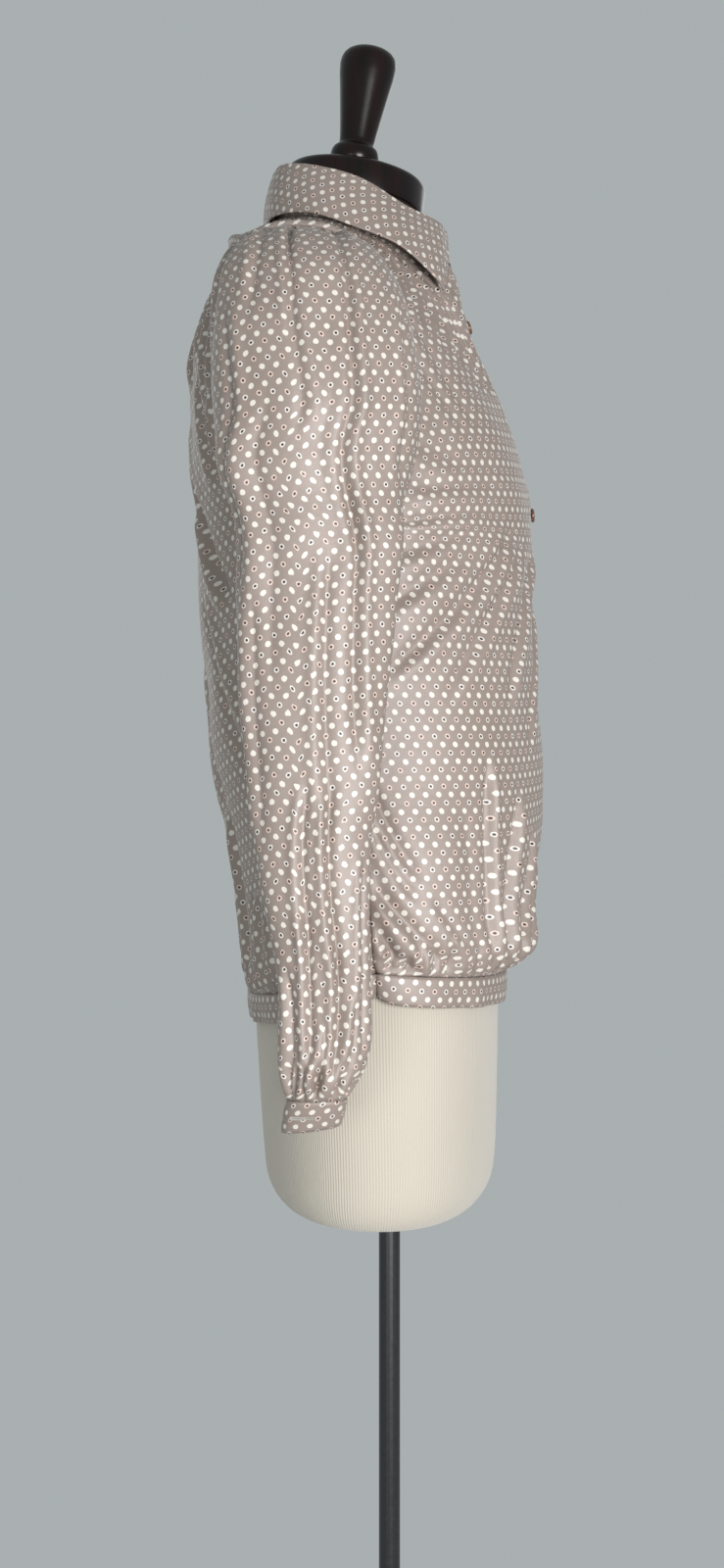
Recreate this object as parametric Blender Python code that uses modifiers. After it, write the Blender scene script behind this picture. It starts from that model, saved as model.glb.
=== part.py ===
# Satin blouson blouse on a limbless dress form.
# Metres, +Z up. The front faces +X, the wearer's right side faces -Y, the floor is Z = 0
# and the pole's axis is X = Y = 0.
import math

import bmesh
import bpy
import numpy as np
from mathutils import Matrix, Vector

COLLECTION = "blouse_on_dress_form"

# Cloth
WALL = 0.0015
CUFF_WALL = 0.0020
HALF_SEAM = 0.00020
SHARP_SEAM = 0.86
SAME_POINT = 0.00001
SAME_POINT_SHIFT = 0.317
LAP = 0.013
LAP_DROP = 0.0046
LAP_FADE = 0.030

# Columns and rows of the panels
FRONT_COLUMNS = 10
BACK_COLUMNS = 9
HEAD_COLUMNS = 22
LOWER_STEPS = [0, 1, 2] + [2.5 + 0.5 * k for k in range(16)]
PANEL_STEPS = LOWER_STEPS + [11, 12, 13, 14, 15, 15.5, 16, 17, 18]
ARMHOLE_START = 8
TUBE_TOP = 10
YOKE_ROW = 16
NECK_ROW = 18

# Body panels at the centre front, centre back and side, from the hem band's seam to the neck.
# centre_x and centre_z: the profile. side_x: the widest place. square: 2 is an ellipse.
FRONT_PROFILE = [
    # centre_x, centre_z, side_x, square
    (0.0905, 0.8740, -0.012, 2.30),
    (0.1040, 0.8835, -0.014, 2.30),
    (0.1120, 0.8960, -0.015, 2.30),
    (0.1095, 0.9250, -0.017, 2.30),
    (0.1145, 0.9650, -0.020, 2.25),
    (0.1190, 1.0300, -0.025, 2.20),
    (0.1160, 1.0900, -0.030, 2.20),
    (0.1125, 1.1500, -0.033, 2.20),
    (0.1115, 1.1900, -0.035, 2.15),
    (0.1110, 1.2100, -0.036, 2.10),
    (0.1090, 1.2350, -0.038, 2.10),
    (0.1040, 1.2580, -0.040, 2.10),
    (0.0970, 1.2820, -0.043, 2.05),
    (0.0835, 1.3170, -0.050, 1.95),
    (0.0700, 1.3500, -0.056, 1.80),
    (0.0625, 1.3750, -0.060, 1.65),
    (0.0575, 1.3980, -0.062, 1.50),
    (0.0535, 1.4110, -0.045, 1.65),
    (0.0485, 1.4200, -0.0235, 2.00),
]
BACK_PROFILE = [
    # centre_x, centre_z, side_x, square
    (-0.1105, 0.8570, -0.012, 2.30),
    (-0.1130, 0.8660, -0.014, 2.30),
    (-0.1145, 0.8800, -0.015, 2.30),
    (-0.1160, 0.9150, -0.017, 2.35),
    (-0.1210, 0.9550, -0.020, 2.40),
    (-0.1360, 1.0300, -0.025, 2.50),
    (-0.1410, 1.0900, -0.030, 2.50),
    (-0.1470, 1.1500, -0.033, 2.45),
    (-0.1495, 1.1950, -0.035, 2.40),
    (-0.1510, 1.2250, -0.038, 2.40),
    (-0.1525, 1.2550, -0.042, 2.40),
    (-0.1530, 1.2850, -0.046, 2.40),
    (-0.1540, 1.3150, -0.050, 2.40),
    (-0.1535, 1.3450, -0.055, 2.30),
    (-0.1480, 1.3770, -0.060, 2.20),
    (-0.1350, 1.4070, -0.064, 2.10),
    (-0.1180, 1.4370, -0.065, 2.00),
]
# Seam lines on the wearer's right; y is the distance out from the middle.
SIDE_SEAM = [
    # x, y, z
    (-0.012, 0.1785, 0.883),
    (-0.014, 0.1830, 0.892),
    (-0.015, 0.1860, 0.905),
    (-0.017, 0.1860, 0.933),
    (-0.020, 0.1820, 0.970),
    (-0.025, 0.1760, 1.030),
    (-0.030, 0.1730, 1.090),
    (-0.033, 0.1720, 1.148),
    (-0.035, 0.1720, 1.187),
]
ARMHOLE_FRONT = [
    # x, y, z
    (-0.0350, 0.1720, 1.187),
    (-0.0100, 0.1715, 1.198),
    (0.0040, 0.1660, 1.222),
    (0.0088, 0.1600, 1.252),
    (0.0078, 0.1520, 1.288),
    (0.0015, 0.1400, 1.331),
    (-0.0065, 0.1280, 1.362),
    (-0.0160, 0.1150, 1.386),
    (-0.0310, 0.0950, 1.408),
]
ARMHOLE_BACK = [
    # x, y, z
    (-0.0350, 0.1720, 1.187),
    (-0.0600, 0.1715, 1.198),
    (-0.0850, 0.1680, 1.215),
    (-0.1040, 0.1610, 1.248),
    (-0.1110, 0.1520, 1.290),
    (-0.1115, 0.1410, 1.331),
    (-0.1100, 0.1270, 1.362),
    (-0.1065, 0.1120, 1.390),
    (-0.1006, 0.0950, 1.412),
]
YOKE_FRONT = [
    # x, y, z
    (-0.0310, 0.0950, 1.4080),
    (-0.0285, 0.0800, 1.4205),
    (-0.0235, 0.0655, 1.4345),
]
NECK_BACK_X = -0.087
NECK_BACK_Z = 1.452
YOKE_HEAD_SHARE = 0.5

# Sleeve below the armhole, from the cuff seam up.
SLEEVE_TUBE = [
    # z, front_x, back_x, outer_y, inner_y
    (0.8040, -0.0320, -0.0720, 0.2360, 0.1920),
    (0.8130, -0.0293, -0.0720, 0.2375, 0.1920),
    (0.8260, -0.0245, -0.0725, 0.2385, 0.1920),
    (0.8400, -0.0195, -0.0740, 0.2395, 0.1920),
    (0.8550, -0.0175, -0.0755, 0.2400, 0.1920),
    (0.8760, -0.0173, -0.0765, 0.2410, 0.1925),
    (0.9050, -0.0174, -0.0800, 0.2415, 0.1925),
    (0.9450, -0.0176, -0.0885, 0.2420, 0.1915),
    (0.9810, -0.0160, -0.0940, 0.2420, 0.1885),
    (1.0157, -0.0106, -0.0966, 0.2415, 0.1855),
    (1.0557, -0.0066, -0.1013, 0.2410, 0.1830),
    (1.0877, -0.0039, -0.1033, 0.2405, 0.1815),
    (1.1364, 0.0017, -0.1053, 0.2400, 0.1790),
    (1.1800, 0.0050, -0.1056, 0.2400, 0.1770),
]
# Sleeve from the armhole's lower part up to the yoke.
SLEEVE_CAP = [
    # crest_x, crest_y, crest_z, front_belly, back_belly
    (-0.050, 0.2400, 1.2350, 0.0165, 0.0345),
    (-0.052, 0.2410, 1.2700, 0.0177, 0.0220),
    (-0.055, 0.2380, 1.3050, 0.0181, 0.0194),
    (-0.059, 0.2290, 1.3420, 0.0176, 0.0180),
    (-0.062, 0.2120, 1.3740, 0.0157, 0.0167),
    (-0.064, 0.1750, 1.4015, 0.0120, 0.0130),
    (-0.065, 0.0960, 1.4238, 0.0000, 0.0000),
]
TUBE_CORNER = 0.22
TUBE_CORNER_DEPTH = 0.004
SLEEVE_ROUNDNESS = 1.05

# Folds: each runs along its panel between two places. s goes across the panel (0 at the
# centre front or centre back, 1 at the side; on a sleeve 0 at the front seam, 1 at the back
# seam), row goes up it. depth is negative for a trough.
FRONT_FOLDS = [
    # s1, row1, s2, row2, width, depth
    (0.12, 9.6, 0.88, 6.9, 0.0170, -0.0042),
    (0.14, 10.0, 0.86, 8.9, 0.0150, -0.0028),
    (0.10, 9.0, 0.78, 5.0, 0.0170, -0.0034),
    (0.10, 8.2, 0.46, 4.6, 0.0160, -0.0026),
    (0.87, 5.6, 0.55, 3.0, 0.0170, -0.0034),
    (0.87, 3.9, 0.50, 2.4, 0.0150, -0.0028),
    (0.28, 5.2, 0.20, 2.0, 0.0160, -0.0036),
    (0.32, 16.4, 0.62, 12.8, 0.0130, -0.0026),
    (0.58, 16.4, 0.80, 13.4, 0.0120, -0.0024),
]
BACK_FOLDS = [
    # s1, row1, s2, row2, width, depth
    (0.10, 11.6, 0.84, 7.8, 0.0200, -0.0044),
    (0.35, 6.8, 0.84, 4.4, 0.0190, -0.0034),
    (0.18, 5.6, 0.22, 2.0, 0.0180, -0.0034),
    (0.42, 4.6, 0.46, 2.0, 0.0160, 0.0026),
    (0.62, 5.2, 0.70, 2.0, 0.0180, -0.0034),
    (0.30, 15.0, 0.24, 11.2, 0.0150, -0.0026),
    (0.62, 15.0, 0.62, 12.0, 0.0150, -0.0026),
]
SLEEVE_FOLDS = [
    # s1, row1, s2, row2, width, depth
    (0.36, 19.4, 0.30, 12.6, 0.0110, -0.0036),
    (0.30, 12.8, 0.27, 8.6, 0.0110, -0.0032),
    (0.56, 19.4, 0.55, 15.2, 0.0110, -0.0032),
    (0.45, 12.4, 0.42, 1.4, 0.0110, -0.0036),
    (0.66, 8.2, 0.62, 1.4, 0.0100, -0.0032),
    (0.24, 6.0, 0.27, 1.4, 0.0090, -0.0022),
    (0.78, 18.2, 0.76, 14.6, 0.0120, -0.0026),
]
GATHER_DEPTH = 0.0011

# Hem band
BAND_BOTTOM_FRONT = (0.0895, 0.8520)
BAND_BOTTOM_SIDE = (-0.012, 0.1765, 0.8620)
BAND_BOTTOM_BACK = (-0.1075, 0.8360)

# Collar: the roll line, and the fall's lower edge, from the centre front round to the back.
# angle is measured round the neck from the front.
COLLAR_CENTRE_X = -0.0215
COLLAR_ROLL = [
    # angle, x, y, z
    (0, 0.0455, 0.0000, 1.4475),
    (30, 0.0375, 0.0330, 1.4480),
    (60, 0.0120, 0.0570, 1.4535),
    (90, -0.0220, 0.0665, 1.4710),
    (120, -0.0560, 0.0595, 1.4825),
    (150, -0.0822, 0.0348, 1.4915),
    (180, -0.0918, 0.0000, 1.4950),
]
COLLAR_EDGE = [
    # angle, x, y, z
    (0, 0.0400, 0.0620, 1.3880),
    (30, 0.0330, 0.0690, 1.3960),
    (60, 0.0070, 0.0815, 1.4155),
    (90, -0.0250, 0.0835, 1.4285),
    (120, -0.0600, 0.0730, 1.4425),
    (150, -0.0880, 0.0430, 1.4490),
    (180, -0.0990, 0.0000, 1.4500),
]
COLLAR_COLUMNS = 14
COLLAR_ROWS = 5
COLLAR_WALL = 0.0014
COLLAR_FRONT_GAP = 0.0085
STAND_ROWS = 2
STAND_WALL = 0.0015
STAND_TOP_DROP = 0.0042

# Cuffs
CUFF_BOTTOM_SHIFT = Vector((-0.0040, 0.0120, -0.0215))
CUFF_TILT = 0.12
CUFF_TAIL = 0.22
CUFF_TAIL_DEPTH = 0.0078
CUFF_SEAM = 0.0009
CUFF_OUTER_SHARE = 0.62
CUFF_COLUMNS = 32
CUFF_ROWS = 2

# Buttons
BUTTON_RADIUS = 0.0057
BUTTON_THICKNESS = 0.0026
BUTTON_HEIGHTS = [1.373, 1.2995, 1.226, 1.1525, 1.079, 1.0058, 0.932]
BUTTON_LIFT = 0.0003

# Dress form: rings from its flat bottom up. square is the roundness of the front half and
# back_square that of the back half.
FORM_RINGS = [
    # front_x, front_z, side_x, side_y, side_z, back_x, back_z, square, back_square
    (0.0500, 0.6950, -0.010, 0.1350, 0.6950, -0.0700, 0.6950, 2.2, 2.2),
    (0.0660, 0.6990, -0.010, 0.1500, 0.6990, -0.0840, 0.6990, 2.2, 2.2),
    (0.0780, 0.7140, -0.010, 0.1605, 0.7140, -0.0945, 0.7140, 2.2, 2.2),
    (0.0820, 0.7400, -0.010, 0.1645, 0.7400, -0.0980, 0.7400, 2.2, 2.2),
    (0.0834, 0.8000, -0.011, 0.1670, 0.8000, -0.1020, 0.8000, 2.25, 2.25),
    (0.0838, 0.8500, -0.012, 0.1680, 0.8500, -0.1045, 0.8500, 2.3, 2.3),
    (0.0830, 0.8900, -0.014, 0.1640, 0.8900, -0.1035, 0.8900, 2.3, 2.3),
    (0.0790, 0.9600, -0.018, 0.1500, 0.9600, -0.0980, 0.9600, 2.3, 2.3),
    (0.0780, 1.0200, -0.022, 0.1360, 1.0200, -0.0950, 1.0200, 2.3, 2.3),
    (0.0840, 1.0800, -0.026, 0.1370, 1.0800, -0.1050, 1.0800, 2.3, 2.3),
    (0.0960, 1.1400, -0.030, 0.1460, 1.1400, -0.1250, 1.1400, 2.2, 2.3),
    (0.1030, 1.2000, -0.033, 0.1530, 1.2000, -0.1370, 1.2000, 2.0, 2.2),
    (0.0930, 1.2600, -0.038, 0.1550, 1.2600, -0.1420, 1.2600, 1.8, 2.1),
    (0.0760, 1.3050, -0.046, 0.1570, 1.3100, -0.1430, 1.3100, 1.6, 2.0),
    (0.0600, 1.3450, -0.056, 0.1570, 1.3560, -0.1380, 1.3560, 1.35, 1.8),
    (0.0520, 1.3720, -0.062, 0.1480, 1.3860, -0.1270, 1.3860, 1.25, 1.7),
    (0.0460, 1.3920, -0.064, 0.1230, 1.4060, -0.1130, 1.4100, 1.2, 1.6),
    (0.0410, 1.4060, -0.058, 0.0880, 1.4180, -0.0980, 1.4270, 1.25, 1.6),
    (0.0380, 1.4180, -0.040, 0.0650, 1.4260, -0.0850, 1.4400, 1.5, 1.9),
    (0.0360, 1.4300, -0.030, 0.0575, 1.4440, -0.0820, 1.4560, 1.9, 2.0),
]
FORM_COLUMNS = 28
CAP_CENTRE = Vector((-0.0292, 0.0, 1.4680))
CAP_TILT = math.radians(8.5)
CAP_RADIUS = 0.0552
NECK_TOP_RADIUS = 0.0500
CAP_PROFILE = [
    # radius, height
    (0.0000, 0.0262),
    (0.0300, 0.0262),
    (0.0460, 0.0255),
    (0.0520, 0.0235),
    (CAP_RADIUS, 0.0205),
    (CAP_RADIUS, 0.0030),
    (0.0540, 0.0000),
    (0.0000, 0.0000),
]
FINIAL_PROFILE = [
    # radius, height
    (0.0000, 0.0985),
    (0.0110, 0.0980),
    (0.0180, 0.0950),
    (0.0215, 0.0900),
    (0.0222, 0.0840),
    (0.0200, 0.0680),
    (0.0160, 0.0420),
    (0.0138, 0.0250),
    (0.0140, 0.0215),
    (0.0178, 0.0185),
    (0.0193, 0.0130),
    (0.0185, 0.0075),
    (0.0165, 0.0045),
    (0.0165, 0.0000),
    (0.0000, 0.0000),
]
FINIAL_SHIFT_X = -0.0040
TURNED_STEPS = 20
BUTTON_STEPS = 12
POLE_RADIUS = 0.0083
POLE_SIDES = 20
BASE_RADIUS = 0.165
BASE_PROFILE = [
    # radius, height
    (0.0000, 0.0420),
    (0.0150, 0.0420),
    (0.0180, 0.0390),
    (0.0190, 0.0260),
    (0.0260, 0.0190),
    (0.0900, 0.0150),
    (0.1560, 0.0115),
    (0.1630, 0.0090),
    (BASE_RADIUS, 0.0050),
    (BASE_RADIUS, 0.0000),
    (0.0000, 0.0000),
]
BASE_STEPS = 32
FIT_GAP = 0.0003

# Finishes: colour, roughness, metallic
FINISHES = {
    "satin": ((0.47, 0.40, 0.36, 1.0), 0.38, 0.0),
    "button": ((0.095, 0.045, 0.028, 1.0), 0.25, 0.0),
    "jersey": ((0.71, 0.67, 0.56, 1.0), 0.85, 0.0),
    "mahogany": ((0.030, 0.008, 0.006, 1.0), 0.15, 0.0),
    "black": ((0.012, 0.012, 0.013, 1.0), 0.30, 0.9),
}


def clear_scene():
    for thing in list(bpy.data.objects):
        bpy.data.objects.remove(thing, do_unlink=True)
    for old in list(bpy.data.collections):
        bpy.data.collections.remove(old)


def new_collection():
    group = bpy.data.collections.new(COLLECTION)
    bpy.context.scene.collection.children.link(group)
    return group


def give_finish(thing, finish):
    colour, roughness, metallic = FINISHES[finish]
    material = bpy.data.materials.new(thing.name + "_" + finish)
    material.use_nodes = True
    shader = material.node_tree.nodes["Principled BSDF"]
    shader.inputs["Base Color"].default_value = colour
    shader.inputs["Roughness"].default_value = roughness
    shader.inputs["Metallic"].default_value = metallic
    thing.data.materials.append(material)


def smooth_rows(table, position):
    """All columns of a table at a place between its rows, on a smooth curve through the rows."""
    rows = np.asarray(table, dtype=float)
    last = len(rows) - 1
    low = int(min(max(math.floor(position), 0), last - 1))
    u = position - low
    slope_low = (rows[low + 1] - rows[max(low - 1, 0)]) / (2.0 if low > 0 else 1.0)
    high = min(low + 2, last)
    slope_high = (rows[high] - rows[low]) / (2.0 if low + 2 <= last else 1.0)
    return (
        rows[low] * (2 * u**3 - 3 * u**2 + 1)
        + slope_low * (u**3 - 2 * u**2 + u)
        + rows[low + 1] * (3 * u**2 - 2 * u**3)
        + slope_high * (u**3 - u**2)
    )


def ease(value):
    value = min(max(value, 0.0), 1.0)
    return value * value * (3.0 - 2.0 * value)


def front_edge(row):
    if row <= ARMHOLE_START:
        return smooth_rows(SIDE_SEAM, row)
    if row <= YOKE_ROW:
        return smooth_rows(ARMHOLE_FRONT, row - ARMHOLE_START)
    return smooth_rows(YOKE_FRONT, row - YOKE_ROW)


def back_edge(row):
    if row <= ARMHOLE_START:
        return smooth_rows(SIDE_SEAM, row)
    return smooth_rows(ARMHOLE_BACK, row - ARMHOLE_START)


def section_point(centre, edge, side_x, square, s, lap=0.0):
    """A place on the arc from the centre line (s = 0) to the panel's edge (s = 1).

    The arc is a quarter of a rounded oval about side_x that passes through both ends.
    lap is how far the panel starts past the centre line.
    """
    centre_x, centre_z = centre
    edge_x, edge_y, edge_z = edge
    side_x = min(side_x, edge_x) if centre_x > edge_x else max(side_x, edge_x)
    power = 2.0 / square
    reach = (edge_x - side_x) / (centre_x - side_x)
    edge_angle = math.acos(min(max(reach, 0.0), 1.0) ** (1.0 / power))
    half_width = edge_y / math.sin(edge_angle) ** power
    lap_angle = math.asin(min(lap / half_width, 1.0) ** (1.0 / power))
    angle = -lap_angle + s * (edge_angle + lap_angle)
    across = math.copysign(abs(math.sin(angle)) ** power, angle)
    x = side_x + (centre_x - side_x) * math.cos(angle) ** power
    share = max(angle, 0.0) / edge_angle
    z = centre_z + (edge_z - centre_z) * (1.0 - math.cos(share * math.pi / 2.0))
    return np.array((x, -half_width * across, z))


def front_point(row, s, lap=0.0):
    centre_x, centre_z, side_x, square = smooth_rows(FRONT_PROFILE, row)
    return section_point((centre_x, centre_z), front_edge(row), side_x, square, s, lap)


def back_point(row, s):
    centre_x, centre_z, side_x, square = smooth_rows(BACK_PROFILE, row)
    return section_point((centre_x, centre_z), back_edge(row), side_x, square, s)


def neck_back_point(s):
    """The neck seam behind the yoke's front corner: s = 0 at that corner, 1 at centre back."""
    corner = YOKE_FRONT[-1]
    centre = (NECK_BACK_X, NECK_BACK_Z)
    return section_point(centre, corner, corner[0], 2.0, 1.0 - s)


def head_point(s):
    """The yoke's outer edge over the shoulder, where the sleeve head is gathered in."""
    return sleeve_outer_point(len(SLEEVE_TUBE) + YOKE_ROW - TUBE_TOP, s)


def sleeve_section(row):
    """Front corner, back corner, crest and bellies of the sleeve at a row."""
    tube_rows = len(SLEEVE_TUBE)
    table = []
    for z, front_x, back_x, outer_y, inner_y in SLEEVE_TUBE:
        width = front_x - back_x
        corner_y = inner_y + TUBE_CORNER_DEPTH
        front = (front_x - TUBE_CORNER * width, corner_y, z)
        back = (back_x + TUBE_CORNER * width, corner_y, z)
        crest = ((front_x + back_x) / 2.0, outer_y, z)
        half_chord = (0.5 - TUBE_CORNER) * width
        belly = 0.5 * width - math.sqrt(0.5) * half_chord
        table.append(front + back + crest + (belly, belly))
    for k, (crest_x, crest_y, crest_z, front_belly, back_belly) in enumerate(SLEEVE_CAP):
        front = tuple(front_edge(TUBE_TOP + k))
        back = tuple(back_edge(TUBE_TOP + k))
        table.append(front + back + (crest_x, crest_y, crest_z, front_belly, back_belly))
    values = smooth_rows(table, row)
    front, back, crest = values[0:3], values[3:6], values[6:9]
    if row >= tube_rows:
        front = front_edge(TUBE_TOP + row - tube_rows)
        back = back_edge(TUBE_TOP + row - tube_rows)
    return front, back, crest, values[9], values[10]


def sleeve_outer_point(row, s):
    """The sleeve's outside, from its front corner (s = 0) over the crest to its back corner."""
    front, back, crest, front_belly, back_belly = sleeve_section(row)
    angle = math.pi * s
    middle = (front + back) / 2.0
    point = middle + (front - back) / 2.0 * math.cos(angle)
    point = point + (crest - middle) * max(math.sin(angle), 0.0) ** SLEEVE_ROUNDNESS
    swing = math.sin(2.0 * angle)
    point[0] += swing * (front_belly if s < 0.5 else back_belly)
    point[1] = -point[1]
    return point


def sleeve_inner_point(row, s):
    """The sleeve's side next to the body, from its back corner (s = 0) to its front corner."""
    tube_rows = len(SLEEVE_TUBE)
    if row > tube_rows - 1:
        lower = sleeve_inner_point(tube_rows - 1, s)
        reach = (TUBE_TOP - ARMHOLE_START) * abs(1.0 - 2.0 * s)
        edge = back_edge if s < 0.5 else front_edge
        upper = edge(ARMHOLE_START + reach) * np.array((1.0, -1.0, 1.0))
        share = row - (tube_rows - 1)
        return lower + (upper - lower) * share
    front, back, crest, front_belly, back_belly = sleeve_section(row)
    bow = math.sin(math.pi * s) ** 0.6
    point = back + (front - back) * (1.0 - math.cos(math.pi * s)) / 2.0
    droop = 0.012 * ease((row - 11.5) / 1.5)
    return np.array((point[0], -(point[1] - TUBE_CORNER_DEPTH * bow), point[2] - droop * bow))


def grid_normals(grid):
    """Unit normals of a grid of points, from the differences between its neighbours."""
    along = np.gradient(grid, axis=0)
    across = np.gradient(grid, axis=1)
    normals = np.cross(along, across)
    lengths = np.linalg.norm(normals, axis=2, keepdims=True)
    return normals / np.maximum(lengths, 1e-9)


def fold_heights(grid, surface, folds):
    """How far each point of a grid is pushed out by a table of folds."""
    heights = np.zeros(grid.shape[:2])
    samples = 15
    for s1, row1, s2, row2, width, depth in folds:
        for k in range(samples):
            u = (k + 0.5) / samples
            place = surface(row1 + (row2 - row1) * u, s1 + (s2 - s1) * u)
            distance = np.linalg.norm(grid - place, axis=2)
            fade = math.sin(math.pi * u) ** 0.5
            push = depth * fade * np.exp(-((distance / width) ** 2))
            stronger = np.abs(push) > np.abs(heights)
            heights = np.where(stronger, push, heights)
    return heights


def fold_panel(grid, surface, folds, gathers, mask):
    """Push a grid's points along its normals by its folds and gathers, but not at its seams."""
    heights = (fold_heights(grid, surface, folds) + gathers) * mask
    return grid + grid_normals(grid) * heights[:, :, None]


def edge_mask(count, low_steps, high_steps):
    """0 at an end that is a seam, rising to 1 within the given number of steps."""
    mask = np.ones(count)
    for k in range(count):
        if low_steps:
            mask[k] *= ease(k / low_steps)
        if high_steps:
            mask[k] *= ease((count - 1 - k) / high_steps)
    return mask


def zigzag(rows, columns, row_weights):
    """Gathers: neighbouring columns stand out and in by turns, row by row as weighted."""
    wave = np.array([1.0 if k % 2 else -1.0 for k in range(columns)])
    return np.outer(row_weights, wave) * GATHER_DEPTH


def front_panel(under):
    """The right front, or the left front turned under it and still on the right side."""
    shares = np.linspace(0.0, 1.0, FRONT_COLUMNS + 1)
    grid = np.array([[front_point(row, s, LAP) for s in shares] for row in PANEL_STEPS])
    rows = len(PANEL_STEPS)
    weights = [
        0.9 * math.exp(-((row - 17.0) ** 2) / 1.2) + 1.2 * math.exp(-((row - 1.3) ** 2) / 0.8)
        for row in PANEL_STEPS
    ]
    gathers = zigzag(rows, FRONT_COLUMNS + 1, weights)
    across = edge_mask(FRONT_COLUMNS + 1, 0, 1)
    across[:3] = (0.0, 0.15, 0.5)
    mask = np.outer(edge_mask(rows, 1, 1), across)
    grid = fold_panel(grid, front_point, FRONT_FOLDS, gathers, mask)
    return lapped_under(grid) if under else grid


def lapped_under(grid):
    """A right-hand grid set back near the centre front, so that it passes under its twin."""
    lapped = grid.copy()
    for row in lapped:
        for point in row:
            point[0] -= LAP_DROP * (1.0 - ease((-point[1] - LAP) / LAP_FADE))
    return lapped


def back_panel():
    """The back, from the right side seam round to the left one."""
    steps = [row for row in PANEL_STEPS if row <= YOKE_ROW]
    shares = np.linspace(1.0, 0.0, BACK_COLUMNS + 1)
    half = np.array([[back_point(row, s) for s in shares] for row in steps])
    weights = [
        1.0 * math.exp(-((row - 15.2) ** 2) / 0.8) + 1.3 * math.exp(-((row - 1.3) ** 2) / 0.8)
        for row in steps
    ]
    gathers = zigzag(len(steps), BACK_COLUMNS + 1, weights)
    mask = np.outer(edge_mask(len(steps), 1, 1), edge_mask(BACK_COLUMNS + 1, 1, 0))
    half = fold_panel(half, back_point, BACK_FOLDS, gathers, mask)
    half[:, -1, 1] = 0.0
    other = half[:, -2::-1, :] * np.array((1.0, -1.0, 1.0))
    return np.concatenate((half, other), axis=1)


def sleeve_shell():
    """The right sleeve: the upper side from cuff to yoke, and the side next to the body."""
    tube_rows = len(SLEEVE_TUBE)
    inner_steps = [row for row in PANEL_STEPS if ARMHOLE_START < row <= TUBE_TOP]
    inner_columns = 2 * len(inner_steps)
    outer_shares = np.linspace(0.0, 1.0, HEAD_COLUMNS + 1)
    cap_rows = [tube_rows + row - TUBE_TOP for row in PANEL_STEPS if TUBE_TOP < row <= YOKE_ROW]
    rows = list(range(tube_rows + 1)) + cap_rows
    outer = np.array([[sleeve_outer_point(row, s) for s in outer_shares] for row in rows])
    weights = [
        1.0 * math.exp(-((row - 19.3) ** 2) / 0.5) + 0.9 * math.exp(-((row - 0.9) ** 2) / 0.9)
        for row in rows
    ]
    gathers = zigzag(len(rows), HEAD_COLUMNS + 1, weights)
    mask = np.outer(edge_mask(len(rows), 1, 1), edge_mask(HEAD_COLUMNS + 1, 1, 1))
    outer = fold_panel(outer, sleeve_outer_point, SLEEVE_FOLDS, gathers, mask)
    inner_shares = np.linspace(0.0, 1.0, inner_columns + 1)
    inner = np.array(
        [[sleeve_inner_point(row, s) for s in inner_shares] for row in rows[: tube_rows + 1]]
    )
    return outer, inner


def yoke_half():
    """The yoke from its front corner on the right round to the centre back."""
    columns = []
    for k in range(HEAD_COLUMNS + 1):
        s = k / HEAD_COLUMNS
        columns.append((neck_back_point(s * YOKE_HEAD_SHARE), head_point(s)))
    for k in range(1, BACK_COLUMNS + 1):
        s = k / BACK_COLUMNS
        inner = neck_back_point(YOKE_HEAD_SHARE + s * (1.0 - YOKE_HEAD_SHARE))
        columns.append((inner, back_point(YOKE_ROW, 1.0 - s)))
    neck = np.array([column[0] for column in columns])
    outer = np.array([column[1] for column in columns])
    middle = (neck + outer) / 2.0
    corner = front_edge(YOKE_ROW + 1) * np.array((1.0, -1.0, 1.0))
    for k in range(8):
        middle[k] += (corner - (neck[0] + outer[0]) / 2.0) * (1.0 - k / 8.0)
    return np.array((outer, middle, neck))


def band_rows(surface, row0_shares, bottom_centre, lap):
    """A hem band panel: its top row is the panel's first row, its bottom row is below it."""
    top = np.array([surface(0, s, lap) if lap else surface(0, s) for s in row0_shares])
    side_x = BAND_BOTTOM_SIDE[0]
    bottom = np.array(
        [section_point(bottom_centre, BAND_BOTTOM_SIDE, side_x, 2.3, s, lap) for s in row0_shares]
    )
    return np.array((bottom, (bottom + top) / 2.0, top))


def mirrored(grid):
    return grid * np.array((1.0, -1.0, 1.0))


def unit_rows(vectors):
    return vectors / np.maximum(np.linalg.norm(vectors, axis=1, keepdims=True), 1e-12)


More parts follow.
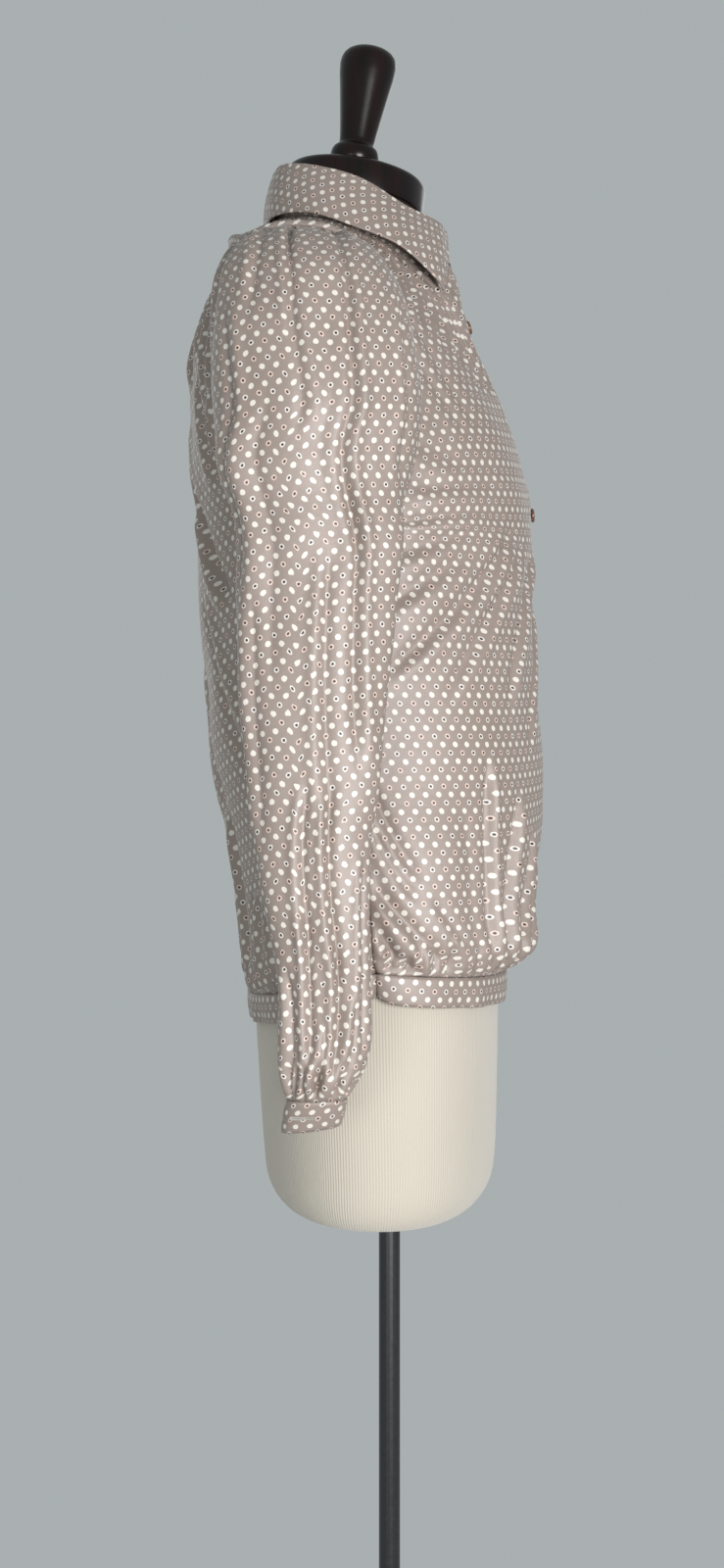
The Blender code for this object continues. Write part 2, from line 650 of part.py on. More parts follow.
class Skin:
    """The garment's outer surface: grids of points whose shared seams have shared points."""

    def __init__(self):
        self.points = []
        self.known = {}
        self.faces = {}

    def index(self, point):
        key = tuple(math.floor(value / SAME_POINT + SAME_POINT_SHIFT) for value in point)
        if key not in self.known:
            self.known[key] = len(self.points)
            self.points.append(np.array(point, dtype=float))
        return self.known[key]

    def add(self, piece, grid, flip=False):
        ids = [[self.index(point) for point in row] for row in grid]
        faces = self.faces.setdefault(piece, [])
        for low, high in zip(ids[:-1], ids[1:]):
            for j in range(len(low) - 1):
                face = [low[j], high[j], high[j + 1], low[j + 1]]
                corners = []
                for corner in face:
                    if corner not in corners:
                        corners.append(corner)
                for triangle in self.split(corners):
                    faces.append(triangle[::-1] if flip else triangle)

    def split(self, corners):
        """A face as triangles, cut along its shorter diagonal."""
        if len(corners) < 4:
            return [corners] if len(corners) == 3 else []
        a, b, c, d = corners
        first = np.linalg.norm(self.points[c] - self.points[a])
        second = np.linalg.norm(self.points[d] - self.points[b])
        if first <= second:
            return [[a, b, c], [a, c, d]]
        return [[a, b, d], [b, c, d]]

    def tube_of(self, piece):
        """A sleeve's two sides, which make one tube, or the piece alone."""
        stem = piece.removesuffix("_under")
        return [name for name in self.faces if name.removesuffix("_under") == stem]

    def piece_normals(self, piece):
        """The way out at each point of one piece, or of the tube that it is part of."""
        own = np.zeros((len(self.points), 3))
        for name in self.tube_of(piece):
            for face in self.faces[name]:
                a, b, c = (self.points[k] for k in face)
                for k in face:
                    own[k] += np.cross(b - a, c - a)
        return unit_rows(own)

    def normals(self):
        """The way out at each point; where pieces meet, each of them counts the same."""
        pieces = [piece for piece in self.faces if not piece.endswith("_under")]
        return unit_rows(sum(self.piece_normals(piece) for piece in pieces))

    def seam_shifts(self, piece):
        """For each point that a piece shares with others, the way to move it off the seam."""
        own = {}
        other = {}
        for name, faces in self.faces.items():
            store = own if name == piece else other
            for face in faces:
                centre = sum(self.points[k] for k in face) / len(face)
                for k in face:
                    store.setdefault(k, []).append(centre - self.points[k])
        shifts = {}
        for k in own:
            if k in other:
                mine = sum(own[k])
                theirs = sum(other[k])
                mine = mine / np.linalg.norm(mine)
                theirs = theirs / np.linalg.norm(theirs)
                away = mine - theirs
                shifts[k] = away / max(np.linalg.norm(away), 1e-9) * HALF_SEAM
        return shifts


def wall_object(group, name, skin, piece, thickness, normals=None):
    """A piece of the skin as a closed wall, kept half a seam's gap from its neighbours."""
    if normals is None:
        normals = skin.normals()
    own_normals = skin.piece_normals(piece)
    shifts = skin.seam_shifts(piece)
    faces = skin.faces[piece]
    used = sorted({k for face in faces for k in face})
    mesh_wall = bmesh.new()
    outer = {}
    inner = {}
    for k in used:
        place = skin.points[k] + shifts.get(k, 0.0)
        sharp = own_normals[k] @ normals[k] < SHARP_SEAM
        outward = own_normals[k] if sharp else normals[k]
        outer[k] = mesh_wall.verts.new(place)
        inner[k] = mesh_wall.verts.new(place - outward * thickness)
    directed = set()
    for face in faces:
        mesh_wall.faces.new([outer[k] for k in face])
        mesh_wall.faces.new([inner[k] for k in reversed(face)])
        for a, b in zip(face, face[1:] + face[:1]):
            directed.add((a, b))
    for a, b in directed:
        if (b, a) not in directed:
            corners = [outer[b], outer[a], inner[a], inner[b]]
            first = 0 if a > b else 1
            mesh_wall.faces.new([corners[(first + k) % 4] for k in (0, 1, 2)])
            mesh_wall.faces.new([corners[(first + k) % 4] for k in (2, 3, 0)])
    bmesh.ops.recalc_face_normals(mesh_wall, faces=mesh_wall.faces)
    return object_from(group, name, mesh_wall, "satin")


def object_from(group, name, mesh_data, finish):
    mesh = bpy.data.meshes.new(name)
    mesh_data.to_mesh(mesh)
    mesh_data.free()
    mesh.shade_smooth()
    mesh.set_sharp_from_angle(angle=math.radians(50))
    thing = bpy.data.objects.new(name, mesh)
    group.objects.link(thing)
    give_finish(thing, finish)
    return thing


def build_panels(group):
    """Fronts, back, yoke, sleeves and hem band, which meet each other at shared seams."""
    skin = Skin()
    skin.add("front_right", front_panel(False))
    skin.add("front_left", mirrored(front_panel(True)), flip=True)
    skin.add("back", back_panel())
    upper, under = sleeve_shell()
    for piece, flip in (("sleeve_right", False), ("sleeve_left", True)):
        skin.add(piece, mirrored(upper) if flip else upper, flip=flip)
        skin.add(piece + "_under", mirrored(under) if flip else under, flip=flip)
    half = yoke_half()
    skin.add("yoke", half)
    skin.add("yoke", mirrored(half), flip=True)
    front_shares = np.linspace(0.0, 1.0, FRONT_COLUMNS + 1)
    right_band = band_rows(front_point, front_shares, BAND_BOTTOM_FRONT, LAP)
    left_band = lapped_under(right_band)
    skin.add("hem_band_right", right_band)
    skin.add("hem_band_left", mirrored(left_band), flip=True)
    back_shares = np.linspace(1.0, 0.0, BACK_COLUMNS + 1)
    back_band = band_rows(back_point, back_shares, BAND_BOTTOM_BACK, 0.0)
    back_band = np.concatenate((back_band, mirrored(back_band[:, -2::-1])), axis=1)
    skin.add("hem_band_back", back_band)
    normals = skin.normals()
    for piece in skin.faces:
        wall_object(group, piece, skin, piece, WALL, normals)


def cuff_centre(drop):
    """The middle of the cuff's ring: drop is 0 at the sleeve's seam and 1 at the cuff's edge."""
    z, front_x, back_x, outer_y, inner_y = SLEEVE_TUBE[0]
    centre = np.array(((front_x + back_x) / 2.0, -(outer_y + inner_y) / 2.0, z - CUFF_SEAM))
    return centre + np.array(CUFF_BOTTOM_SHIFT) * drop


def cuff_point(share, drop):
    """A place on the cuff: share 0 to 1 goes once round from the back corner.

    Past 1 the strip goes on inside its own first turn, as an open cuff's under end does.
    """
    turn = share - 1.0 if share > 1.0 else share
    if turn <= CUFF_OUTER_SHARE:
        point = sleeve_outer_point(0, 1.0 - turn / CUFF_OUTER_SHARE)
    else:
        rest = 1.0 - CUFF_OUTER_SHARE
        point = sleeve_inner_point(0, 1.0 - (turn - CUFF_OUTER_SHARE) / rest)
    centre = cuff_centre(drop)
    tilt = CUFF_TILT * (point[0] - cuff_centre(0.0)[0]) * drop
    shift = np.array(CUFF_BOTTOM_SHIFT) * drop
    point = np.array((point[0] + shift[0], point[1] + shift[1], centre[2] + tilt))
    return point + cuff_inward(point, drop) * CUFF_TAIL_DEPTH * ease((share - 0.84) / 0.14)


def cuff_inward(point, drop):
    inward = cuff_centre(drop) - point
    inward[2] = 0.0
    return inward / np.linalg.norm(inward)


def build_cuff(group, name, flip):
    shares = np.linspace(0.0, 1.0 + CUFF_TAIL, CUFF_COLUMNS + 1)
    drops = [1.0 - k / CUFF_ROWS for k in range(CUFF_ROWS + 1)]
    grid = np.array([[cuff_point(share, drop) for share in shares] for drop in drops])
    skin = Skin()
    skin.add(name, mirrored(grid) if flip else grid, flip=not flip)
    return wall_object(group, name, skin, name, CUFF_WALL)


def neck_point(share):
    """The neck seam from the centre front (0) to the centre back (1) on the right."""
    if share < 0.5:
        return front_point(NECK_ROW, share * 2.0)
    return neck_back_point(share * 2.0 - 1.0)


def collar_line(table, angle):
    """A collar line at an angle round the neck, with y out to the wearer's right."""
    spacing = table[1][0] - table[0][0]
    values = smooth_rows(table, angle / spacing)
    return np.array((values[1], -values[2], values[3]))


def build_collar_stand(group):
    """The stand: a band from the neck seam up to just under the roll, lapped in front."""
    half = []
    for k in range(COLLAR_COLUMNS + 1):
        share = k / COLLAR_COLUMNS
        low = neck_point(share) + np.array((0.0, 0.0, 0.0009))
        high = collar_line(COLLAR_ROLL, 180.0 * share)
        outward = np.array((high[0] - COLLAR_CENTRE_X, high[1], 0.0))
        outward = outward / np.linalg.norm(outward)
        high = high - outward * 0.0022 - np.array((0.0, 0.0, STAND_TOP_DROP))
        half.append([low, low + (high - low) * 0.5, high])
    right = np.transpose(np.array(half), (1, 0, 2))
    left = mirrored(right)
    for row in range(STAND_ROWS + 1):
        end = right[row, 0].copy()
        over = end + np.array((-0.0012, LAP, 0.0))
        right[row, 0] = end
        under = end + np.array((-LAP_DROP - 0.0014, -LAP, 0.0))
        left[row, 0] = end + np.array((-LAP_DROP, 0.0, 0.0))
        left[row, 1] = left[row, 1] + np.array((-LAP_DROP * 0.4, 0.0, 0.0))
        right_row = np.vstack((over[None], right[row]))
        left_row = np.vstack((under[None], left[row]))
        if row == 0:
            rows = []
        rows.append(np.vstack((right_row, left_row[::-1][1:])))
    skin = Skin()
    skin.add("collar_stand", np.array(rows))
    return wall_object(group, "collar_stand", skin, "collar_stand", STAND_WALL)


def build_collar_fall(group):
    """The fall: over the roll and down to its edge, with long points in front."""
    half = []
    for k in range(COLLAR_COLUMNS + 1):
        angle = 180.0 * k / COLLAR_COLUMNS
        roll = collar_line(COLLAR_ROLL, angle)
        edge = collar_line(COLLAR_EDGE, angle)
        if k == 0:
            roll = roll + np.array((-0.0006, -COLLAR_FRONT_GAP, 0.0))
        outward = np.array((roll[0] - COLLAR_CENTRE_X, roll[1], 0.0))
        outward = outward / np.linalg.norm(outward)
        up = np.array((0.0, 0.0, 1.0))
        column = [roll - outward * 0.0018, roll - up * 0.0030]
        start = column[-1]
        for row in range(1, COLLAR_ROWS):
            share = row / (COLLAR_ROWS - 1)
            bulge = 0.0022 * math.sin(math.pi * share)
            column.append(start + (edge - start) * share + outward * bulge)
        half.append(column[::-1])
    right = np.transpose(np.array(half), (1, 0, 2))
    grid = np.concatenate((right, mirrored(right[:, -2::-1])), axis=1)
    skin = Skin()
    skin.add("collar_fall", grid)
    return wall_object(group, "collar_fall", skin, "collar_fall", COLLAR_WALL)


def turned_object(group, name, profile, finish, steps):
    """A turned shape: its profile spun round the Z axis."""
    mesh = bpy.data.meshes.new(name)
    points = [(radius, 0.0, height) for radius, height in profile]
    edges = [(k, k + 1) for k in range(len(points) - 1)]
    mesh.from_pydata(points, edges, [])
    thing = bpy.data.objects.new(name, mesh)
    group.objects.link(thing)
    spin = thing.modifiers.new("turned", "SCREW")
    spin.steps = steps
    spin.render_steps = steps
    spin.use_merge_vertices = True
    spin.merge_threshold = 0.00001
    spin.use_smooth_shade = True
    give_finish(thing, finish)
    return thing


def build_buttons(group):
    radius = BUTTON_RADIUS
    thick = BUTTON_THICKNESS
    profile = [
        (0.0, thick * 0.62),
        (radius * 0.62, thick * 0.62),
        (radius * 0.78, thick),
        (radius * 0.92, thick * 0.92),
        (radius, thick * 0.5),
        (radius * 0.86, 0.0),
        (0.0, 0.0),
    ]
    heights = [values[1] for values in FRONT_PROFILE]
    for k, height in enumerate(BUTTON_HEIGHTS):
        row = float(np.interp(height, heights, range(len(heights))))
        place = front_point(row, 0.0)
        along = front_point(row + 0.2, 0.0) - front_point(row - 0.2, 0.0)
        normal = Vector((along[2], 0.0, -along[0])).normalized()
        button = turned_object(group, "button_front_%d" % (k + 1), profile, "button", BUTTON_STEPS)
        button.location = Vector(place) + normal * BUTTON_LIFT
        button.rotation_euler = normal.to_track_quat("Z", "Y").to_euler()
    for name, side in (("button_cuff_right", 1.0), ("button_cuff_left", -1.0)):
        button = turned_object(group, name, profile, "button", BUTTON_STEPS)
        middle = 1.0 + CUFF_TAIL * 0.6
        place = cuff_point(middle, 0.5)
        along = cuff_point(middle + 0.02, 0.5) - cuff_point(middle - 0.02, 0.5)
        down = cuff_point(middle, 1.0) - cuff_point(middle, 0.0)
        outward = Vector(np.cross(along, down)).normalized()
        if outward.dot(Vector(cuff_inward(place, 0.5))) > 0.0:
            outward = -outward
        place = Vector(place) + outward * BUTTON_LIFT
        outward.y *= side
        place.y *= side
        button.location = place
        button.rotation_euler = outward.to_track_quat("Z", "Y").to_euler()


def form_ring(values):
    """One closed ring of the dress form."""
    front_x, front_z, side_x, side_y, side_z, back_x, back_z, square, back_square = values
    ring = []
    for k in range(FORM_COLUMNS):
        angle = 2.0 * math.pi * k / FORM_COLUMNS
        along = math.cos(angle)
        across = math.sin(angle)
        end_x = front_x if along >= 0.0 else back_x
        end_z = front_z if along >= 0.0 else back_z
        power = 2.0 / (square if along >= 0.0 else back_square)
        x = side_x + (end_x - side_x) * abs(along) ** power
        y = side_y * math.copysign(abs(across) ** power, across)
        z = side_z + (end_z - side_z) * along**2
        ring.append(Vector((x, y, z)))
    return ring


def cap_matrix():
    return Matrix.Translation(CAP_CENTRE) @ Matrix.Rotation(CAP_TILT, 4, "Y")


def build_form(group):
    """The body of the dress form: one smooth closed solid up to the neck cap."""
    form = bmesh.new()
    rings = [form_ring(values) for values in FORM_RINGS]
    top = []
    for k in range(FORM_COLUMNS):
        angle = 2.0 * math.pi * k / FORM_COLUMNS
        flat = Vector((NECK_TOP_RADIUS * math.cos(angle), NECK_TOP_RADIUS * math.sin(angle), -FIT_GAP))
        top.append(cap_matrix() @ flat)
    rings.append(top)
    layers = [[form.verts.new(point) for point in ring] for ring in rings]
    for low, high in zip(layers[:-1], layers[1:]):
        for k in range(FORM_COLUMNS):
            after = (k + 1) % FORM_COLUMNS
            form.faces.new((low[k], low[after], high[after], high[k]))
    form.faces.new(layers[0][::-1])
    form.faces.new(layers[-1])
    bmesh.ops.recalc_face_normals(form, faces=form.faces)
    return object_from(group, "form_body", form, "jersey")


def build_stand(group):
    cap = turned_object(group, "neck_cap", CAP_PROFILE, "mahogany", TURNED_STEPS)
    cap.matrix_world = cap_matrix()
    finial = turned_object(group, "finial", FINIAL_PROFILE, "mahogany", TURNED_STEPS)
    lift = CAP_PROFILE[0][1] + FIT_GAP
    finial.matrix_world = cap_matrix() @ Matrix.Translation((FINIAL_SHIFT_X, 0.0, lift))
    base = turned_object(group, "stand_base", BASE_PROFILE, "black", BASE_STEPS)
    base.location = (0.0, 0.0, 0.0)
    low = BASE_PROFILE[0][1] + FIT_GAP
    high = FORM_RINGS[0][1] - FIT_GAP
    bpy.ops.mesh.primitive_cylinder_add(
        vertices=POLE_SIDES,
        radius=POLE_RADIUS,
        depth=high - low,
        location=(0.0, 0.0, (high + low) / 2.0),
    )
    pole = bpy.context.active_object
    pole.name = "pole"
    pole.data.name = "pole"
    for holder in list(pole.users_collection):
        holder.objects.unlink(pole)
    group.objects.link(pole)
    pole.data.shade_smooth()
    pole.data.set_sharp_from_angle(angle=math.radians(50))
    give_finish(pole, "black")


def main():
    clear_scene()
    group = new_collection()
    build_panels(group)
    build_cuff(group, "cuff_right", False)
    build_cuff(group, "cuff_left", True)
    build_collar_stand(group)
    build_collar_fall(group)
    build_buttons(group)
    build_form(group)
    build_stand(group)


main()
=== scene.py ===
import math

import bmesh
import bpy
import numpy as np
from mathutils import Matrix, Vector


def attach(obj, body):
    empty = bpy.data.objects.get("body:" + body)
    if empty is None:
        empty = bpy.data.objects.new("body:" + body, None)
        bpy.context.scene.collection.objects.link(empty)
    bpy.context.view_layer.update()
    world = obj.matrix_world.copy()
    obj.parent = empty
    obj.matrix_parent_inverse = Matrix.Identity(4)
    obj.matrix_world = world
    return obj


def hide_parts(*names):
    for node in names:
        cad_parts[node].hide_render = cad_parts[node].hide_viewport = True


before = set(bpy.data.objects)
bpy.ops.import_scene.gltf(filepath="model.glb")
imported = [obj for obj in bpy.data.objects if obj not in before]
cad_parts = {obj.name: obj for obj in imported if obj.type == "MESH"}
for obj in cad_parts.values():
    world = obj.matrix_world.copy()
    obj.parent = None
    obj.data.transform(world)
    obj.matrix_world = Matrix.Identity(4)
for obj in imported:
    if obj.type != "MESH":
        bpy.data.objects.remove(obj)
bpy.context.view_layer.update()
for thing in bpy.context.selected_objects:
    thing.select_set(False)

# Camera: the photo looks level at the wearer's right side
view = {
    "place": (-0.0216, -1.5, 1.015),
    "lens": 43.8,
}
camera = bpy.data.objects.new("camera", bpy.data.cameras.new("camera"))
bpy.context.scene.collection.objects.link(camera)
camera.location = view["place"]
camera.rotation_euler = (math.pi / 2, 0, 0)
camera.data.lens = view["lens"]
bpy.context.scene.camera = camera


# Cloth surfaces
# Rows run up from the hem band's seam, s runs from the centre line (0) to the side (1).
cloth = {
    "wall": 0.0009,
    "spacing": 0.0030,
    "lap": 0.013,
    "lapDrop": 0.0046,
    "lapFade": 0.030,
    "grainTurn": math.radians(7),
    "headSink": 0.0048,
    "armholeStart": 8,
    "tubeTop": 10,
    "yokeRow": 16,
    "neckRow": 18,
}
frontProfile = [  # centreX, centreZ, sideX, square
    (0.0905, 0.8740, -0.012, 2.30),
    (0.1040, 0.8835, -0.014, 2.30),
    (0.1120, 0.8960, -0.015, 2.30),
    (0.1095, 0.9250, -0.017, 2.30),
    (0.1145, 0.9650, -0.020, 2.25),
    (0.1190, 1.0300, -0.025, 2.20),
    (0.1160, 1.0900, -0.030, 2.20),
    (0.1125, 1.1500, -0.033, 2.20),
    (0.1115, 1.1900, -0.035, 2.15),
    (0.1110, 1.2100, -0.036, 2.10),
    (0.1090, 1.2350, -0.038, 2.10),
    (0.1040, 1.2580, -0.040, 2.10),
    (0.0970, 1.2820, -0.043, 2.05),
    (0.0835, 1.3170, -0.050, 1.95),
    (0.0700, 1.3500, -0.056, 1.80),
    (0.0625, 1.3750, -0.060, 1.65),
    (0.0575, 1.3980, -0.062, 1.50),
    (0.0535, 1.4110, -0.045, 1.65),
    (0.0485, 1.4200, -0.0235, 2.00),
]
backProfile = [  # centreX, centreZ, sideX, square
    (-0.1105, 0.8570, -0.012, 2.30),
    (-0.1130, 0.8660, -0.014, 2.30),
    (-0.1145, 0.8800, -0.015, 2.30),
    (-0.1160, 0.9150, -0.017, 2.35),
    (-0.1210, 0.9550, -0.020, 2.40),
    (-0.1360, 1.0300, -0.025, 2.50),
    (-0.1410, 1.0900, -0.030, 2.50),
    (-0.1470, 1.1500, -0.033, 2.45),
    (-0.1495, 1.1950, -0.035, 2.40),
    (-0.1510, 1.2250, -0.038, 2.40),
    (-0.1525, 1.2550, -0.042, 2.40),
    (-0.1530, 1.2850, -0.046, 2.40),
    (-0.1540, 1.3150, -0.050, 2.40),
    (-0.1535, 1.3450, -0.055, 2.30),
    (-0.1480, 1.3770, -0.060, 2.20),
    (-0.1350, 1.4070, -0.064, 2.10),
    (-0.1180, 1.4370, -0.065, 2.00),
]
sideSeam = [  # x, y, z
    (-0.012, 0.1785, 0.883),
    (-0.014, 0.1830, 0.892),
    (-0.015, 0.1860, 0.905),
    (-0.017, 0.1860, 0.933),
    (-0.020, 0.1820, 0.970),
    (-0.025, 0.1760, 1.030),
    (-0.030, 0.1730, 1.090),
    (-0.033, 0.1720, 1.148),
    (-0.035, 0.1720, 1.187),
]
armholeFront = [  # x, y, z
    (-0.0350, 0.1720, 1.187),
    (-0.0100, 0.1715, 1.198),
    (0.0040, 0.1660, 1.222),
    (0.0088, 0.1600, 1.252),
    (0.0078, 0.1520, 1.288),
    (0.0015, 0.1400, 1.331),
    (-0.0065, 0.1280, 1.362),
    (-0.0160, 0.1150, 1.386),
    (-0.0310, 0.0950, 1.408),
]
armholeBack = [  # x, y, z
    (-0.0350, 0.1720, 1.187),
    (-0.0600, 0.1715, 1.198),
    (-0.0850, 0.1680, 1.215),
    (-0.1040, 0.1610, 1.248),
    (-0.1110, 0.1520, 1.290),
    (-0.1115, 0.1410, 1.331),
    (-0.1100, 0.1270, 1.362),
    (-0.1065, 0.1120, 1.390),
    (-0.1006, 0.0950, 1.412),
]
yokeFront = [  # x, y, z
    (-0.0310, 0.0950, 1.4080),
    (-0.0285, 0.0800, 1.4205),
    (-0.0235, 0.0655, 1.4345),
]
sleeveTube = [  # z, frontX, backX, outerY, innerY
    (0.8040, -0.0320, -0.0720, 0.2360, 0.1920),
    (0.8130, -0.0293, -0.0720, 0.2375, 0.1920),
    (0.8260, -0.0245, -0.0725, 0.2385, 0.1920),
    (0.8400, -0.0195, -0.0740, 0.2395, 0.1920),
    (0.8550, -0.0175, -0.0755, 0.2400, 0.1920),
    (0.8760, -0.0173, -0.0765, 0.2410, 0.1925),
    (0.9050, -0.0174, -0.0800, 0.2415, 0.1925),
    (0.9450, -0.0176, -0.0885, 0.2420, 0.1915),
    (0.9810, -0.0160, -0.0940, 0.2420, 0.1885),
    (1.0157, -0.0106, -0.0966, 0.2415, 0.1855),
    (1.0557, -0.0066, -0.1013, 0.2410, 0.1830),
    (1.0877, -0.0039, -0.1033, 0.2405, 0.1815),
    (1.1364, 0.0017, -0.1053, 0.2400, 0.1790),
    (1.1800, 0.0050, -0.1056, 0.2400, 0.1770),
]
sleeveCap = [  # crestX, crestY, crestZ, frontBelly, backBelly
    (-0.050, 0.2400, 1.2350, 0.0165, 0.0345),
    (-0.052, 0.2410, 1.2700, 0.0177, 0.0220),
    (-0.055, 0.2380, 1.3050, 0.0181, 0.0194),
    (-0.059, 0.2290, 1.3420, 0.0176, 0.0180),
    (-0.062, 0.2120, 1.3740, 0.0157, 0.0167),
    (-0.064, 0.1750, 1.4015, 0.0120, 0.0130),
    (-0.065, 0.0960, 1.4238, 0.0000, 0.0000),
]
sleeveShape = {
    "corner": 0.22,
    "cornerDepth": 0.004,
    "roundness": 1.05,
    "foldDepth": 0.68,
}
neckBack = {"x": -0.087, "z": 1.452, "headShare": 0.5}


def smoothRows(table, position):
    # a smooth curve through the rows of a table
    rows = np.asarray(table, dtype=float)
    last = len(rows) - 1
    low = int(min(max(math.floor(position), 0), last - 1))
    u = position - low
    slopeLow = (rows[low + 1] - rows[max(low - 1, 0)]) / (2.0 if low > 0 else 1.0)
    high = min(low + 2, last)
    slopeHigh = (rows[high] - rows[low]) / (2.0 if low + 2 <= last else 1.0)
    return (rows[low] * (2 * u**3 - 3 * u**2 + 1) + slopeLow * (u**3 - 2 * u**2 + u)
            + rows[low + 1] * (3 * u**2 - 2 * u**3) + slopeHigh * (u**3 - u**2))


def ease(value):
    value = np.clip(value, 0.0, 1.0)
    return value * value * (3.0 - 2.0 * value)


def mirrored(grid):
    return grid * np.array((1.0, -1.0, 1.0))


def frontEdge(row):
    if row <= cloth["armholeStart"]:
        return smoothRows(sideSeam, row)
    if row <= cloth["yokeRow"]:
        return smoothRows(armholeFront, row - cloth["armholeStart"])
    return smoothRows(yokeFront, row - cloth["yokeRow"])


def backEdge(row):
    if row <= cloth["armholeStart"]:
        return smoothRows(sideSeam, row)
    return smoothRows(armholeBack, row - cloth["armholeStart"])


def sectionRow(centre, edge, sideX, square, s, lap=0.0):
    # the arc from the centre line to the panel's edge, a quarter of a rounded oval
    centreX, centreZ = centre
    edgeX, edgeY, edgeZ = edge
    sideX = min(sideX, edgeX) if centreX > edgeX else max(sideX, edgeX)
    power = 2.0 / square
    reach = min(max((edgeX - sideX) / (centreX - sideX), 0.0), 1.0)
    edgeAngle = math.acos(reach ** (1.0 / power))
    halfWidth = edgeY / math.sin(edgeAngle) ** power
    lapAngle = math.asin(min(lap / halfWidth, 1.0) ** (1.0 / power))
    angle = -lapAngle + s * (edgeAngle + lapAngle)
    sine = np.sin(angle)
    x = sideX + (centreX - sideX) * np.maximum(np.cos(angle), 0.0) ** power
    y = -halfWidth * np.sign(sine) * np.abs(sine) ** power
    z = centreZ + (edgeZ - centreZ) * (1.0 - np.cos(np.maximum(angle, 0.0) / edgeAngle * math.pi / 2))
    return np.stack((x, y, z), axis=-1)


def frontRow(row, s):
    centreX, centreZ, sideX, square = smoothRows(frontProfile, row)
    return sectionRow((centreX, centreZ), frontEdge(row), sideX, square, s, cloth["lap"])


def backRow(row, s):
    centreX, centreZ, sideX, square = smoothRows(backProfile, row)
    return sectionRow((centreX, centreZ), backEdge(row), sideX, square, s)


def neckBackRow(s):
    corner = yokeFront[-1]
    return sectionRow((neckBack["x"], neckBack["z"]), corner, corner[0], 2.0, 1.0 - s)


def sleeveSection(row):
    table = []
    corner = sleeveShape["corner"]
    for z, frontX, backX, outerY, innerY in sleeveTube:
        width = frontX - backX
        cornerY = innerY + sleeveShape["cornerDepth"]
        belly = 0.5 * width - math.sqrt(0.5) * (0.5 - corner) * width
        table.append((frontX - corner * width, cornerY, z, backX + corner * width, cornerY, z,
                      (frontX + backX) / 2, outerY, z, belly, belly))
    for k, (crestX, crestY, crestZ, frontBelly, backBelly) in enumerate(sleeveCap):
        table.append((*frontEdge(cloth["tubeTop"] + k), *backEdge(cloth["tubeTop"] + k),
                      crestX, crestY, crestZ, frontBelly, backBelly))
    values = smoothRows(table, row)
    front, back = values[0:3], values[3:6]
    if row >= len(sleeveTube):
        front = frontEdge(cloth["tubeTop"] + row - len(sleeveTube))
        back = backEdge(cloth["tubeTop"] + row - len(sleeveTube))
    return front, back, values[6:9], values[9], values[10]


def sleeveOuterRow(row, s):
    # from the front corner (s = 0) over the crest to the back corner
    front, back, crest, frontBelly, backBelly = sleeveSection(row)
    angle = (math.pi * s)[:, None]
    middle = (front + back) / 2
    points = middle + (front - back) / 2 * np.cos(angle)
    points = points + (crest - middle) * np.maximum(np.sin(angle), 0.0) ** sleeveShape["roundness"]
    points[:, 0] += np.sin(2 * math.pi * s) * np.where(s < 0.5, frontBelly, backBelly)
    return mirrored(points)


def sleeveInnerRow(row, s):
    # the side next to the body, from the back corner to the front corner
    top = len(sleeveTube) - 1
    if row > top:
        lower = sleeveInnerRow(top, s)
        reach = (cloth["tubeTop"] - cloth["armholeStart"]) * np.abs(1.0 - 2.0 * s)
        upper = np.array([(backEdge if place < 0.5 else frontEdge)(cloth["armholeStart"] + up)
                          for place, up in zip(s, reach)])
        return lower + (mirrored(upper) - lower) * (row - top)
    front, back, crest, frontBelly, backBelly = sleeveSection(row)
    bow = np.sin(math.pi * s) ** 0.6
    points = back + (front - back) * ((1.0 - np.cos(math.pi * s)) / 2)[:, None]
    points[:, 1] = -(points[:, 1] - sleeveShape["cornerDepth"] * bow)
    points[:, 2] -= 0.012 * ease((row - 11.5) / 1.5) * bow
    return points


def evenRow(rowFunction, row, columns):
    # the same arc with its points evenly apart
    fine = np.linspace(0.0, 1.0, 161)
    points = rowFunction(row, fine)
    steps = np.linalg.norm(np.diff(points, axis=0), axis=1)
    length = np.concatenate(((0.0,), np.cumsum(steps)))
    shares = np.interp(np.linspace(0.0, length[-1], columns), length, fine)
    shares[0], shares[-1] = 0.0, 1.0
    return rowFunction(row, shares)


def denseRows(rowFunction, first, last, spacing):
    # row numbers about one spacing apart up the middle of a panel
    middle = np.array((0.3, 0.5))
    rows = [first]
    for low in range(int(first), int(last)):
        a = rowFunction(low, middle)[1]
        b = rowFunction(low + 1, middle)[1]
        count = max(2, int(round(np.linalg.norm(b - a) / spacing)))
        rows += [low + (k + 1) / count for k in range(count)]
    return np.array(rows)


def surfaceGrid(rowFunction, rows, columns, even=True):
    shares = np.linspace(0.0, 1.0, columns)
    if even:
        return np.array([evenRow(rowFunction, row, columns) for row in rows])
    return np.array([rowFunction(row, shares) for row in rows])


def gridNormals(grid):
    along = np.gradient(grid, axis=0)
    across = np.gradient(grid, axis=1)
    normals = np.cross(along, across)
    return normals / np.maximum(np.linalg.norm(normals, axis=2, keepdims=True), 1e-9)


def clothMap(grid, start=0.0):
    # cloth coordinates in metres: u across the grain from the column at start, v along it
    across = np.linalg.norm(np.diff(grid, axis=1), axis=2)
    u = np.concatenate((np.zeros((len(grid), 1)), np.cumsum(across, axis=1)), axis=1)
    anchor = start * (grid.shape[1] - 1)
    low = int(math.floor(anchor))
    high = min(low + 1, grid.shape[1] - 1)
    u = u - (u[:, low] + (u[:, high] - u[:, low]) * (anchor - low))[:, None]
    along = np.linalg.norm(np.diff(grid, axis=0), axis=2)
    v = np.concatenate((np.zeros((1, grid.shape[1])), np.cumsum(along, axis=0)), axis=0)
    return np.stack((u, v), axis=-1)


